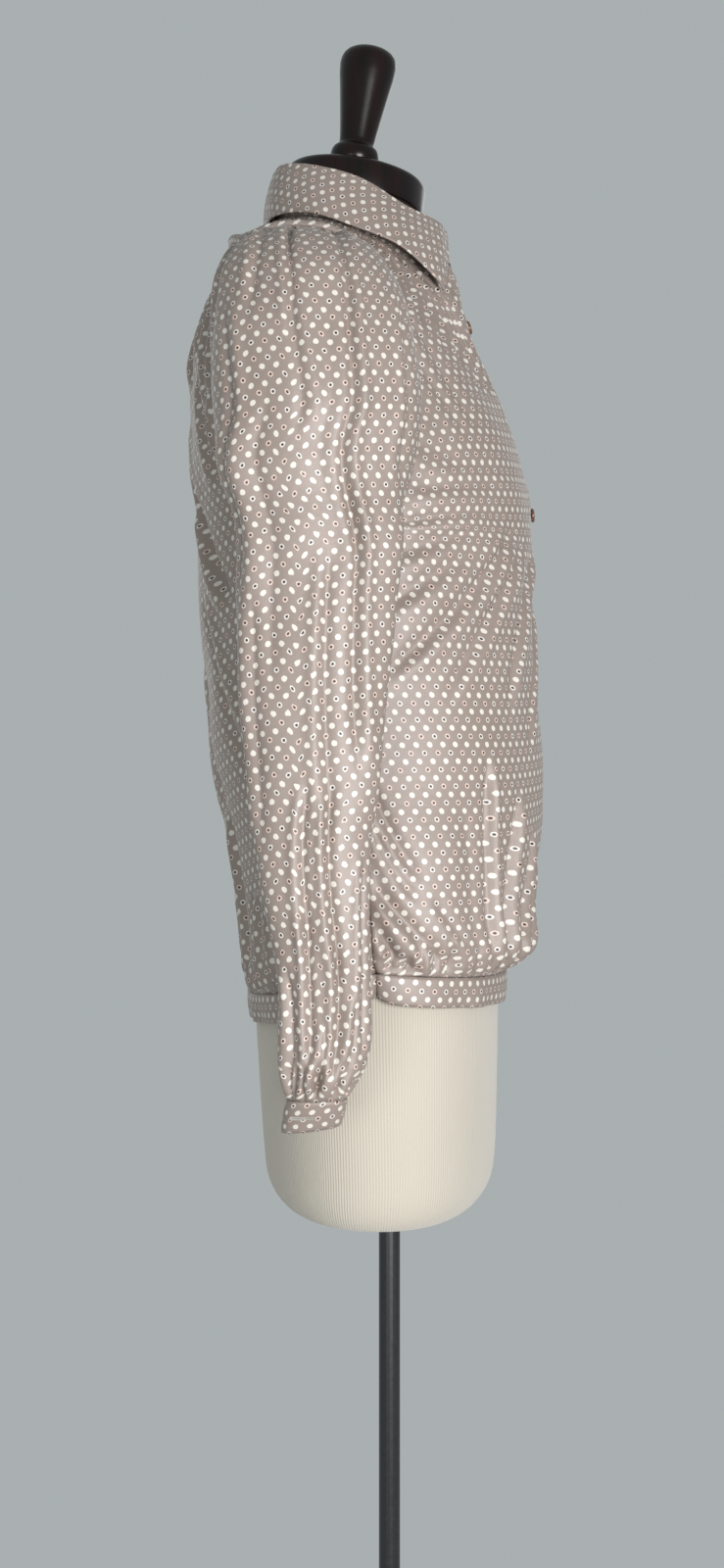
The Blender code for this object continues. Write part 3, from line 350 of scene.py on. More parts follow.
def creaseHeights(uv, rows, creases):
    # each crease is a soft trough with a ridge along one side of it
    heights = np.zeros(uv.shape[:2])
    shares = np.linspace(0.0, 1.0, uv.shape[1])

    def place(s, row):
        i = np.interp(row, rows, np.arange(len(rows)))
        low = int(min(math.floor(i), len(rows) - 2))
        line = uv[low] + (uv[low + 1] - uv[low]) * (i - low)
        return np.array((np.interp(s, shares, line[:, 0]), np.interp(s, shares, line[:, 1])))

    for s1, row1, s2, row2, bow, width, depth, ridge in creases:
        start = place(s1, row1)
        end = place(s2, row2)
        run = end - start
        length = max(np.linalg.norm(run), 1e-6)
        run = run / length
        offset = uv - start
        t = (offset @ run) / length
        aside = offset @ np.array((-run[1], run[0])) - bow * 4.0 * t * (1.0 - t)
        inside = np.clip(t, 0.0, 1.0)
        fade = ease(np.minimum(inside, 1.0 - inside) / 0.22)
        beyond = np.maximum(np.abs(t - 0.5) - 0.5, 0.0) * length
        fade = np.where(beyond > 0.0, 0.0, fade)
        w = width * (0.75 + 0.35 * inside)
        shape = np.exp(-np.abs(aside / w) ** 1.4)
        side = math.copysign(1.0, ridge) * aside
        shape = shape - abs(ridge) * np.exp(-((side - 2.1 * w) / (1.3 * w)) ** 2)
        heights += -depth * fade * shape
    return heights


def gatherCreases(count, row, reach, width, depth, first=0.02, last=0.98, seed=0.0):
    # small pleats that start at a seam and run out of it, uneven in place, length and depth
    creases = []
    for k in range(count):
        wobble = math.sin(seed + k * 2.4)
        s = first + (last - first) * (k + 0.5 + 0.36 * wobble) / count
        long = reach * (0.55 + 0.5 * abs(math.sin(seed + k * 1.7)))
        deep = depth * (0.5 + 0.6 * abs(math.sin(seed + k * 2.9)))
        lean = 0.5 * (last - first) / count * math.sin(seed + k * 3.3)
        wide = width * (0.8 + 0.3 * wobble)
        creases.append((s, row - long * 0.25, s + lean, row + long, 0.0, wide, deep, 0.45))
    return creases


def billow(uv, size, height):
    # slack in the cloth, too soft to be a fold
    u, v = uv[..., 0] / size, uv[..., 1] / size
    waves = np.sin(u * 5.1 + 1.3 * np.sin(v * 3.1)) * np.cos(v * 4.3 + 1.1 * np.sin(u * 2.7 + 0.6))
    return height * waves


def edgeDistances(uv):
    # how far each point lies from the bottom, top, left and right edge of its piece
    u, v = uv[..., 0], uv[..., 1]
    return {"bottom": v - v[:1], "top": v[-1:] - v, "left": u - u[:, :1], "right": u[:, -1:] - u}


def edgeFade(uv, **reaches):
    # 0 on a seam, 1 past the given distance in metres
    distances = edgeDistances(uv)
    fade = np.ones(uv.shape[:2])
    for edge, reach in reaches.items():
        fade = fade * ease(distances[edge] / reach)
    return fade


def seamGroove(uv, edges, depth=0.0014, width=0.0022):
    distances = edgeDistances(uv)
    groove = np.zeros(uv.shape[:2])
    for edge in edges:
        groove = np.maximum(groove, np.exp(-(distances[edge] / width) ** 2))
    return -depth * groove


def edgePuff(uv, edges, height, reach):
    # cloth that rises out of a seam in a soft roll
    distances = edgeDistances(uv)
    puff = np.full(uv.shape[:2], 1.0)
    for edge in edges:
        puff = np.minimum(puff, 1.0 - np.exp(-(distances[edge] / reach) ** 1.3))
    return height * puff


def headSink(uv):
    # cloth that hangs from under the yoke's folded edge lies a little lower than it
    fromHead = edgeDistances(uv)["top"]
    return cloth["headSink"] * ease(fromHead / 0.014) * (1.0 - ease((fromHead - 0.060) / 0.060))


def turned(uv, angle):
    c, s = math.cos(angle), math.sin(angle)
    return np.stack((uv[..., 0] * c - uv[..., 1] * s, uv[..., 0] * s + uv[..., 1] * c), axis=-1)


def clothObject(name, grids, wall, flip=False, smoothing=True):
    # grids: (points, cloth coordinates) pairs that are joined where their edges meet
    mesh = bmesh.new()
    layer = mesh.loops.layers.uv.new("cloth")
    for points, uv in grids:
        verts = [[mesh.verts.new(p) for p in row] for row in points]
        for i in range(len(verts) - 1):
            for j in range(len(verts[0]) - 1):
                corners = [(i, j), (i + 1, j), (i + 1, j + 1), (i, j + 1)]
                if flip:
                    corners = corners[::-1]
                face = mesh.faces.new([verts[a][b] for a, b in corners])
                for loop, (a, b) in zip(face.loops, corners):
                    loop[layer].uv = uv[a, b]
    bmesh.ops.remove_doubles(mesh, verts=mesh.verts, dist=0.00005)
    bmesh.ops.dissolve_degenerate(mesh, edges=mesh.edges, dist=0.00001)
    data = bpy.data.meshes.new(name)
    mesh.to_mesh(data)
    mesh.free()
    if smoothing:
        data.shade_smooth()
    piece = bpy.data.objects.new(name, data)
    bpy.context.scene.collection.objects.link(piece)
    if wall > 0.0:
        thick = piece.modifiers.new("wall", "SOLIDIFY")
        thick.thickness = wall
        thick.offset = -1.0
        thick.use_rim = True
    return piece


# Materials
satin = {
    "ground": (0.205, 0.162, 0.134, 1.0),
    "groundPale": (0.252, 0.206, 0.184, 1.0),
    "cream": (0.580, 0.552, 0.498, 1.0),
    "whiteRing": (0.600, 0.560, 0.515, 1.0),
    "pinkRing": (0.560, 0.445, 0.385, 1.0),
    "blackEye": (0.006, 0.005, 0.007, 1.0),
    "brownEye": (0.045, 0.014, 0.012, 1.0),
    "pitch": (0.0100, 0.0116),
    "dotRadius": 0.00200,
    "ringRadius": 0.00184,
    "eyeRadius": 0.00098,
    "softness": 0.00016,
}


def link(tree, a, b):
    tree.links.new(a, b)


def mathNode(tree, operation, a, b=None, clamp=False):
    node = tree.nodes.new("ShaderNodeMath")
    node.operation = operation
    node.use_clamp = clamp
    for socket, value in zip(node.inputs, (a, b)):
        if value is None:
            continue
        if isinstance(value, (int, float)):
            socket.default_value = value
        else:
            link(tree, value, socket)
    return node.outputs[0]


def vectorNode(tree, operation, a, b=None, output=0):
    node = tree.nodes.new("ShaderNodeVectorMath")
    node.operation = operation
    for socket, value in zip(node.inputs, (a, b)):
        if value is None:
            continue
        if isinstance(value, tuple):
            socket.default_value = value
        else:
            link(tree, value, socket)
    return node.outputs[output]


def mixColour(tree, factor, a, b):
    node = tree.nodes.new("ShaderNodeMix")
    node.data_type = "RGBA"
    if isinstance(factor, (int, float)):
        node.inputs[0].default_value = factor
    else:
        link(tree, factor, node.inputs[0])
    for socket, value in ((node.inputs[6], a), (node.inputs[7], b)):
        if isinstance(value, tuple):
            socket.default_value = value
        else:
            link(tree, value, socket)
    return node.outputs[2]


def noiseNode(tree, vector, scale, detail=2.0, roughness=0.5):
    node = tree.nodes.new("ShaderNodeTexNoise")
    node.inputs["Scale"].default_value = scale
    node.inputs["Detail"].default_value = detail
    node.inputs["Roughness"].default_value = roughness
    link(tree, vector, node.inputs["Vector"])
    return node.outputs["Fac"]


def bumpNode(tree, height, strength, distance, normal=None):
    node = tree.nodes.new("ShaderNodeBump")
    node.inputs["Strength"].default_value = strength
    node.inputs["Distance"].default_value = distance
    link(tree, height, node.inputs["Height"])
    if normal is not None:
        link(tree, normal, node.inputs["Normal"])
    return node.outputs["Normal"]


def newMaterial(name):
    material = bpy.data.materials.new(name)
    material.use_nodes = True
    tree = material.node_tree
    return material, tree, tree.nodes["Principled BSDF"]


def discMask(tree, distance, radius):
    soft = satin["softness"]
    node = tree.nodes.new("ShaderNodeMapRange")
    node.interpolation_type = "SMOOTHSTEP"
    link(tree, distance, node.inputs["Value"])
    node.inputs["From Min"].default_value = radius - soft
    node.inputs["From Max"].default_value = radius + soft
    node.inputs["To Min"].default_value = 1.0
    node.inputs["To Max"].default_value = 0.0
    return node.outputs["Result"]


def dottedSatin(name, turn=0.0):
    material, tree, shader = newMaterial(name)
    uvMap = tree.nodes.new("ShaderNodeUVMap")
    uvMap.uv_map = "cloth"
    mapping = tree.nodes.new("ShaderNodeMapping")
    mapping.inputs["Rotation"].default_value = (0.0, 0.0, turn)
    link(tree, uvMap.outputs["UV"], mapping.inputs["Vector"])
    place = mapping.outputs["Vector"]
    pitchX, pitchY = satin["pitch"]
    cell = vectorNode(tree, "DIVIDE", place, (pitchX, pitchY, 1.0))

    def cellDistance(shift):
        moved = vectorNode(tree, "ADD", cell, (shift, shift, 0.5))
        inside = vectorNode(tree, "SUBTRACT", vectorNode(tree, "FRACTION", moved), (0.5, 0.5, 0.5))
        sized = vectorNode(tree, "MULTIPLY", inside, (pitchX, pitchY, 0.0))
        return vectorNode(tree, "LENGTH", sized, output=1)

    wander = noiseNode(tree, place, 900.0, 1.0)
    wobble = mathNode(tree, "MULTIPLY", mathNode(tree, "SUBTRACT", wander, 0.5), 0.0006)
    plain = discMask(tree, mathNode(tree, "ADD", cellDistance(0.0), wobble), satin["dotRadius"])
    ringDistance = mathNode(tree, "ADD", cellDistance(0.5), wobble)
    ring = discMask(tree, ringDistance, satin["ringRadius"])
    eye = discMask(tree, ringDistance, satin["eyeRadius"])
    whole = vectorNode(tree, "FLOOR", vectorNode(tree, "ADD", cell, (0.5, 0.5, 0.5)))
    split = tree.nodes.new("ShaderNodeSeparateXYZ")
    link(tree, whole, split.inputs[0])
    total = mathNode(tree, "ADD", split.outputs["X"], split.outputs["Y"])
    odd = mathNode(tree, "ABSOLUTE", mathNode(tree, "MODULO", total, 2.0))
    patches = noiseNode(tree, place, 18.0, 3.0)
    ground = mixColour(tree, patches, satin["ground"], satin["groundPale"])
    colour = mixColour(tree, plain, ground, satin["cream"])
    colour = mixColour(tree, ring, colour, mixColour(tree, odd, satin["whiteRing"], satin["pinkRing"]))
    colour = mixColour(tree, eye, colour, mixColour(tree, odd, satin["blackEye"], satin["brownEye"]))
    link(tree, colour, shader.inputs["Base Color"])
    rough = mathNode(tree, "ADD", mathNode(tree, "MULTIPLY", patches, 0.08), 0.50)
    link(tree, rough, shader.inputs["Roughness"])
    shader.inputs["Specular IOR Level"].default_value = 0.80
    shader.inputs["Sheen Weight"].default_value = 0.08
    shader.inputs["Sheen Roughness"].default_value = 0.35
    shader.inputs["Sheen Tint"].default_value = (1.0, 0.90, 0.90, 1.0)
    thread = tree.nodes.new("ShaderNodeTexWave")
    thread.wave_type = "BANDS"
    thread.bands_direction = "Y"
    thread.inputs["Scale"].default_value = 420.0
    thread.inputs["Distortion"].default_value = 1.2
    link(tree, place, thread.inputs["Vector"])
    weave = bumpNode(tree, thread.outputs["Fac"], 0.06, 0.0003)
    rumple = bumpNode(tree, noiseNode(tree, place, 55.0, 4.0, 0.55), 0.32, 0.0022, weave)
    link(tree, rumple, shader.inputs["Normal"])
    return material


def ribbedJersey(name):
    material, tree, shader = newMaterial(name)
    uvMap = tree.nodes.new("ShaderNodeUVMap")
    uvMap.uv_map = "cloth"
    place = uvMap.outputs["UV"]
    rib = tree.nodes.new("ShaderNodeTexWave")
    rib.wave_type = "BANDS"
    rib.bands_direction = "X"
    rib.inputs["Scale"].default_value = 150.0
    rib.inputs["Distortion"].default_value = 0.4
    rib.inputs["Detail"].default_value = 1.0
    link(tree, place, rib.inputs["Vector"])
    stitch = tree.nodes.new("ShaderNodeTexWave")
    stitch.wave_type = "BANDS"
    stitch.bands_direction = "Y"
    stitch.inputs["Scale"].default_value = 300.0
    stitch.inputs["Distortion"].default_value = 0.8
    link(tree, place, stitch.inputs["Vector"])
    cloudy = noiseNode(tree, place, 9.0, 4.0)
    base = mixColour(tree, cloudy, (0.395, 0.366, 0.308, 1.0), (0.445, 0.418, 0.362, 1.0))
    ribShade = mathNode(tree, "MULTIPLY", rib.outputs["Fac"], 0.45)
    colour = mixColour(tree, ribShade, base, (0.52, 0.465, 0.375, 1.0))
    link(tree, colour, shader.inputs["Base Color"])
    shader.inputs["Roughness"].default_value = 0.88
    shader.inputs["Specular IOR Level"].default_value = 0.25
    shader.inputs["Sheen Weight"].default_value = 0.3
    ribs = bumpNode(tree, rib.outputs["Fac"], 0.5, 0.0006)
    link(tree, bumpNode(tree, stitch.outputs["Fac"], 0.25, 0.0003, ribs), shader.inputs["Normal"])
    return material


def mahoganyGloss(name):
    material, tree, shader = newMaterial(name)
    coordinates = tree.nodes.new("ShaderNodeTexCoord").outputs["Object"]
    stretched = tree.nodes.new("ShaderNodeMapping")
    stretched.inputs["Scale"].default_value = (60.0, 60.0, 5.0)
    link(tree, coordinates, stretched.inputs["Vector"])
    grain = noiseNode(tree, stretched.outputs["Vector"], 1.0, 6.0, 0.6)
    ramp = mathNode(tree, "MULTIPLY", mathNode(tree, "SUBTRACT", grain, 0.42), 3.0, True)
    colour = mixColour(tree, ramp, (0.004, 0.0022, 0.002, 1.0), (0.013, 0.0045, 0.0038, 1.0))
    link(tree, colour, shader.inputs["Base Color"])
    shader.inputs["Roughness"].default_value = 0.26
    shader.inputs["Specular IOR Level"].default_value = 0.20
    shader.inputs["Coat Weight"].default_value = 0.12
    shader.inputs["Coat Roughness"].default_value = 0.10
    link(tree, bumpNode(tree, grain, 0.08, 0.0006), shader.inputs["Normal"])
    return material


def paintedBlack(name, roughness):
    material, tree, shader = newMaterial(name)
    coordinates = tree.nodes.new("ShaderNodeTexCoord").outputs["Object"]
    speckle = noiseNode(tree, coordinates, 260.0, 3.0)
    colour = mixColour(tree, speckle, (0.006, 0.006, 0.007, 1.0), (0.016, 0.016, 0.018, 1.0))
    link(tree, colour, shader.inputs["Base Color"])
    uneven = mathNode(tree, "ADD", mathNode(tree, "MULTIPLY", speckle, 0.12), roughness)
    link(tree, uneven, shader.inputs["Roughness"])
    link(tree, bumpNode(tree, speckle, 0.12, 0.0004), shader.inputs["Normal"])
    return material


def buttonShell(name):
    material, tree, shader = newMaterial(name)
    coordinates = tree.nodes.new("ShaderNodeTexCoord").outputs["Object"]
    swirl = noiseNode(tree, coordinates, 320.0, 4.0, 0.6)
    colour = mixColour(tree, swirl, (0.055, 0.020, 0.010, 1.0), (0.190, 0.085, 0.045, 1.0))
    link(tree, colour, shader.inputs["Base Color"])
    shader.inputs["Roughness"].default_value = 0.22
    shader.inputs["Coat Weight"].default_value = 0.5
    return material


def sewingThread(name, colour):
    material, tree, shader = newMaterial(name)
    coordinates = tree.nodes.new("ShaderNodeTexCoord").outputs["Object"]
    fibre = noiseNode(tree, coordinates, 1500.0, 2.0)
    dark = tuple(c * 0.72 for c in colour[:3]) + (1.0,)
    link(tree, mixColour(tree, fibre, dark, colour), shader.inputs["Base Color"])
    shader.inputs["Roughness"].default_value = 0.6
    link(tree, bumpNode(tree, fibre, 0.4, 0.0003), shader.inputs["Normal"])
    return material


satinCloth = dottedSatin("dotted_satin")
satinCollar = dottedSatin("dotted_satin_collar", math.radians(-14))
jerseyCloth = ribbedJersey("ribbed_jersey")
mahogany = mahoganyGloss("mahogany_gloss")
blackPaint = paintedBlack("black_paint", 0.30)
buttonFinish = buttonShell("brown_button")
whiteThread = sewingThread("white_thread", (0.58, 0.55, 0.50, 1.0))
print("materials made")


# Fronts and back
frontFolds = [  # s1, row1, s2, row2, bow, width, depth, ridge
    (1.00, 11.1, 0.78, 10.8, 0.000, 0.0070, 0.0018, 0.5),
    (0.99, 10.0, 0.56, 10.2, 0.003, 0.0066, 0.0028, 0.6),
    (0.96, 8.8, 0.53, 9.5, 0.000, 0.0064, 0.0030, 0.6),
    (0.94, 7.5, 0.48, 9.4, 0.002, 0.0060, 0.0030, 0.6),
    (0.94, 6.7, 0.50, 9.0, 0.000, 0.0058, 0.0034, 0.6),
    (0.94, 5.9, 0.40, 9.3, 0.001, 0.0054, 0.0056, 0.6),
    (0.76, 5.7, 0.32, 8.8, -0.005, 0.0048, 0.0046, 0.6),
    (0.52, 5.5, 0.10, 8.8, -0.018, 0.0050, 0.0042, 0.6),
    (0.40, 5.0, 0.07, 7.6, -0.012, 0.0050, 0.0032, 0.5),
    (0.36, 10.6, 0.97, 10.7, -0.003, 0.0056, 0.0014, -0.5),
    (0.98, 4.9, 0.85, 3.4, 0.004, 0.0044, 0.0036, 0.6),
    (0.98, 4.4, 0.86, 3.0, 0.004, 0.0036, 0.0026, 0.5),
    (0.99, 3.5, 0.76, 0.1, 0.008, 0.0050, 0.0056, 0.7),
    (0.99, 2.2, 0.86, 0.1, 0.004, 0.0036, 0.0046, 0.6),
    (0.99, 1.5, 0.93, 0.1, 0.002, 0.0030, 0.0034, 0.6),
    (0.83, 3.2, 0.72, 1.8, 0.000, 0.0044, 0.0022, 0.4),
    (0.71, 4.6, 0.73, 0.6, 0.000, 0.0090, 0.0026, 0.2),
    (0.62, 5.2, 0.67, 0.5, 0.002, 0.0040, 0.0056, -0.8),
    (0.47, 4.8, 0.59, 0.7, 0.002, 0.0040, 0.0060, -0.8),
    (0.35, 4.4, 0.47, 0.9, -0.004, 0.0038, 0.0050, -0.7),
    (0.25, 4.0, 0.35, 0.7, 0.000, 0.0040, 0.0044, -0.7),
    (0.12, 3.8, 0.20, 0.5, 0.002, 0.0040, 0.0036, 0.7),
    (0.06, 3.0, 0.09, 0.6, 0.000, 0.0036, 0.0028, -0.6),
    (0.90, 13.9, 0.66, 11.4, 0.004, 0.0060, 0.0022, 0.5),
    (0.97, 13.2, 0.72, 11.2, 0.002, 0.0056, 0.0020, 0.5),
    (0.20, 14.0, 0.30, 11.4, -0.003, 0.0062, 0.0018, 0.5),
    (0.05, 10.4, 0.20, 8.9, -0.002, 0.0050, 0.0020, 0.6),
    (0.04, 5.2, 0.14, 3.6, -0.002, 0.0050, 0.0024, 0.6),
]
neckRays = [  # tight pleats that fan out of the yoke's front corner
    (0.970, 17.6, 0.985, 13.2, -0.004, 0.0024, 0.0026, 0.6),
    (0.955, 17.7, 0.930, 13.2, -0.008, 0.0024, 0.0034, 0.6),
    (0.945, 17.8, 0.830, 13.4, -0.011, 0.0026, 0.0036, 0.6),
    (0.930, 17.8, 0.730, 13.0, -0.014, 0.0028, 0.0036, 0.6),
    (0.910, 17.9, 0.630, 12.8, -0.016, 0.0028, 0.0036, 0.6),
    (0.880, 17.9, 0.530, 12.4, -0.016, 0.0028, 0.0036, 0.6),
    (0.850, 17.9, 0.420, 12.4, -0.011, 0.0030, 0.0034, 0.6),
    (0.800, 17.9, 0.320, 12.6, -0.006, 0.0030, 0.0032, 0.6),
    (0.720, 17.9, 0.240, 13.4, 0.000, 0.0030, 0.0028, 0.6),
    (0.560, 17.95, 0.330, 14.6, 0.003, 0.0026, 0.0028, 0.7),
    (0.400, 17.95, 0.240, 14.2, 0.003, 0.0028, 0.0026, 0.7),
    (0.260, 17.95, 0.170, 14.4, 0.002, 0.0028, 0.0022, 0.7),
]
buttonDips = [  # row, depth; where the lap sinks between the folds
    (15.0, 0.0020), (12.65, 0.0050), (10.6, 0.0000), (7.05, 0.0050),
    (5.8, 0.0050), (4.6, 0.0010), (3.2, 0.0050),
]
backFolds = [  # s1, row1, s2, row2, bow, width, depth, ridge; s from the side (0) to centre back (1)
    (0.62, 9.8, 0.40, 6.9, 0.006, 0.0050, 0.0066, 0.8),
    (0.30, 8.6, 0.10, 6.4, 0.004, 0.0050, 0.0040, 0.7),
    (0.85, 11.2, 0.60, 8.4, 0.006, 0.0066, 0.0044, -0.7),
    (0.40, 12.6, 0.30, 9.6, 0.004, 0.0050, 0.0040, 0.7),
    (0.10, 12.4, 0.30, 10.2, 0.003, 0.0040, 0.0034, 0.7),
    (0.06, 11.2, 0.26, 9.2, 0.003, 0.0040, 0.0036, -0.7),
    (0.05, 13.4, 0.22, 11.8, 0.002, 0.0036, 0.0030, 0.7),
    (0.66, 7.2, 0.34, 4.8, 0.006, 0.0066, 0.0040, -0.7),
    (0.90, 6.6, 0.62, 4.4, 0.006, 0.0076, 0.0036, 0.7),
    (0.06, 3.9, 0.24, 1.6, -0.004, 0.0046, 0.0044, 0.8),
    (0.03, 2.6, 0.18, 0.5, -0.003, 0.0040, 0.0040, 0.8),
    (0.34, 4.2, 0.30, 0.6, 0.002, 0.0052, 0.0048, 0.8),
    (0.48, 3.6, 0.50, 0.6, 0.002, 0.0050, 0.0044, -0.8),
    (0.64, 4.6, 0.60, 0.6, 0.002, 0.0056, 0.0050, 0.8),
    (0.80, 3.8, 0.84, 0.6, -0.002, 0.0050, 0.0042, -0.8),
    (0.055, 15.9, 0.060, 12.2, 0.001, 0.0034, 0.0046, 0.9),
    (0.17, 15.9, 0.19, 12.0, 0.001, 0.0036, 0.0044, 0.8),
    (0.30, 15.9, 0.28, 11.4, 0.002, 0.0040, 0.0040, 0.8),
    (0.46, 15.9, 0.48, 12.6, -0.002, 0.0040, 0.0036, 0.7),
    (0.62, 15.9, 0.62, 11.8, 0.001, 0.0044, 0.0040, 0.8),
    (0.78, 15.9, 0.80, 12.4, 0.000, 0.0042, 0.0034, 0.7),
    (0.92, 15.9, 0.94, 12.0, 0.000, 0.0044, 0.0036, 0.7),
]


def lappedUnder(grid):
    lapped = grid.copy()
    cover = 1.0 - ease((-grid[..., 1] - cloth["lap"]) / cloth["lapFade"])
    lapped[..., 0] -= cloth["lapDrop"] * cover
    return lapped


def makeFront():
    rows = denseRows(frontRow, 0, cloth["neckRow"], cloth["spacing"])
    grid = surfaceGrid(frontRow, rows, 132)
    uv = clothMap(grid, 0.0)
    folds = creaseHeights(uv, rows, frontFolds + neckRays)
    folds += creaseHeights(uv, rows, gatherCreases(22, 0.35, 2.0, 0.0028, 0.0038, 0.05, 0.99, 0.4))
    folds += billow(uv, 0.11, 0.0012)
    folds *= edgeFade(uv, top=0.003, bottom=0.004, left=0.006, right=0.006)
    for row, depth in buttonDips:
        at = int(np.argmin(np.abs(rows - row)))
        away = np.hypot((uv[..., 0] - cloth["lap"]) * 0.8, uv[..., 1] - uv[at, 0, 1])
        folds -= depth * np.exp(-(away / 0.017) ** 2)
    folds += seamGroove(uv, ("top", "right")) + seamGroove(uv, ("bottom",), 0.0004)
    return grid + gridNormals(grid) * folds[..., None], uv


def makeBack():
    rows = denseRows(backRow, 0, cloth["yokeRow"], cloth["spacing"])
    half = surfaceGrid(backRow, rows, 110)[:, ::-1]
    uv = clothMap(half, 1.0)
    folds = creaseHeights(uv, rows, backFolds)
    folds += creaseHeights(uv, rows, gatherCreases(18, 0.35, 2.0, 0.0030, 0.0030, 0.01, 0.99, 1.2))
    top = gatherCreases(15, 0.0, 2.2, 0.0030, 0.0040, 0.01, 0.99, 2.2)
    high = cloth["yokeRow"]
    top = [(a, high - r1, b, high - r2, bow, w, d, e) for a, r1, b, r2, bow, w, d, e in top]
    folds += creaseHeights(uv, rows, top)
    folds += billow(uv, 0.12, 0.0014)
    folds *= edgeFade(uv, top=0.003, bottom=0.004, left=0.006)
    folds += seamGroove(uv, ("top", "left")) + seamGroove(uv, ("bottom",), 0.0004)
    folds -= 0.8 * headSink(uv)
    half = half + gridNormals(half) * folds[..., None]
    half[:, -1, 1] = 0.0
    other = mirrored(half)[:, -2::-1]
    uvOther = (uv * np.array((-1.0, 1.0)))[:, -2::-1]
    return np.concatenate((half, other), axis=1), np.concatenate((uv, uvOther), axis=1)


rightFront, rightFrontMap = makeFront()
frontMap = turned(rightFrontMap, cloth["grainTurn"])
leftFront = mirrored(lappedUnder(rightFront))
frontRight = clothObject("front_right_cloth", [(rightFront, frontMap)], cloth["wall"])
frontLeft = clothObject("front_left_cloth", [(leftFront, frontMap)], cloth["wall"], flip=True)
backGrid, backMap = makeBack()
backCloth = clothObject("back_cloth", [(backGrid, turned(backMap, cloth["grainTurn"]))], cloth["wall"])
print("fronts and back draped")

# Sleeves
sleeveFolds = [  # s1, row1, s2, row2, bow, width, depth, ridge
    (0.515, 19.98, 0.545, 16.0, 0.001, 0.0026, 0.0052, 0.6),
    (0.545, 17.0, 0.520, 14.2, 0.001, 0.0042, 0.0038, -0.5),
    (0.30, 19.98, 0.40, 16.2, -0.004, 0.0030, 0.0060, -0.7),
    (0.40, 17.4, 0.385, 12.6, 0.000, 0.0036, 0.0060, -0.7),
    (0.395, 13.8, 0.33, 9.0, 0.002, 0.0040, 0.0056, -0.7),
    (0.45, 17.6, 0.44, 12.0, 0.002, 0.0110, 0.0034, 0.5),
    (0.47, 13.0, 0.43, 7.6, 0.001, 0.0042, 0.0044, 0.7),
    (0.43, 9.2, 0.42, 4.8, 0.001, 0.0032, 0.0056, 0.7),
    (0.42, 6.2, 0.45, 1.0, -0.001, 0.0030, 0.0052, 0.7),
    (0.52, 9.2, 0.55, 5.6, 0.001, 0.0034, 0.0044, 0.7),
    (0.55, 6.8, 0.575, 1.0, 0.001, 0.0028, 0.0050, 0.8),
    (0.64, 19.9, 0.66, 16.4, -0.002, 0.0032, 0.0040, 0.7),
    (0.74, 17.6, 0.78, 11.6, -0.002, 0.0046, 0.0042, -0.7),
    (0.62, 15.6, 0.64, 10.2, 0.002, 0.0060, 0.0030, 0.6),
    (0.70, 12.4, 0.72, 7.4, 0.001, 0.0056, 0.0036, 0.7),
    (0.27, 7.8, 0.30, 1.6, 0.001, 0.0032, 0.0044, 0.8),
    (0.34, 5.0, 0.37, 0.6, 0.000, 0.0026, 0.0040, 0.7),
    (0.49, 4.2, 0.51, 0.5, 0.000, 0.0026, 0.0038, 0.7),
    (0.63, 3.8, 0.62, 0.5, 0.000, 0.0028, 0.0036, -0.7),
    (0.68, 5.8, 0.66, 0.7, 0.000, 0.0034, 0.0040, 0.7),
    (0.22, 17.8, 0.18, 13.4, 0.002, 0.0040, 0.0040, 0.7),
    (0.16, 13.0, 0.20, 8.4, 0.001, 0.0050, 0.0034, -0.7),
    (0.86, 19.7, 0.88, 15.8, 0.000, 0.0036, 0.0040, 0.8),
    (0.88, 11.8, 0.80, 7.0, 0.002, 0.0050, 0.0034, 0.7),
]


headCreases = [  # thin lines that run down from the yoke
    (0.515, 20.4, 0.535, 17.6, 0.001, 0.0018, 0.0032, 0.10),
    (0.305, 20.4, 0.365, 17.0, -0.002, 0.0018, 0.0034, 0.10),
    (0.40, 20.3, 0.42, 18.6, 0.000, 0.0018, 0.0022, 0.15),
    (0.62, 20.4, 0.65, 17.8, 0.000, 0.0020, 0.0026, 0.15),
    (0.76, 20.3, 0.79, 18.0, 0.000, 0.0020, 0.0028, 0.20),
    (0.88, 20.4, 0.90, 17.4, 0.000, 0.0022, 0.0030, 0.20),
]


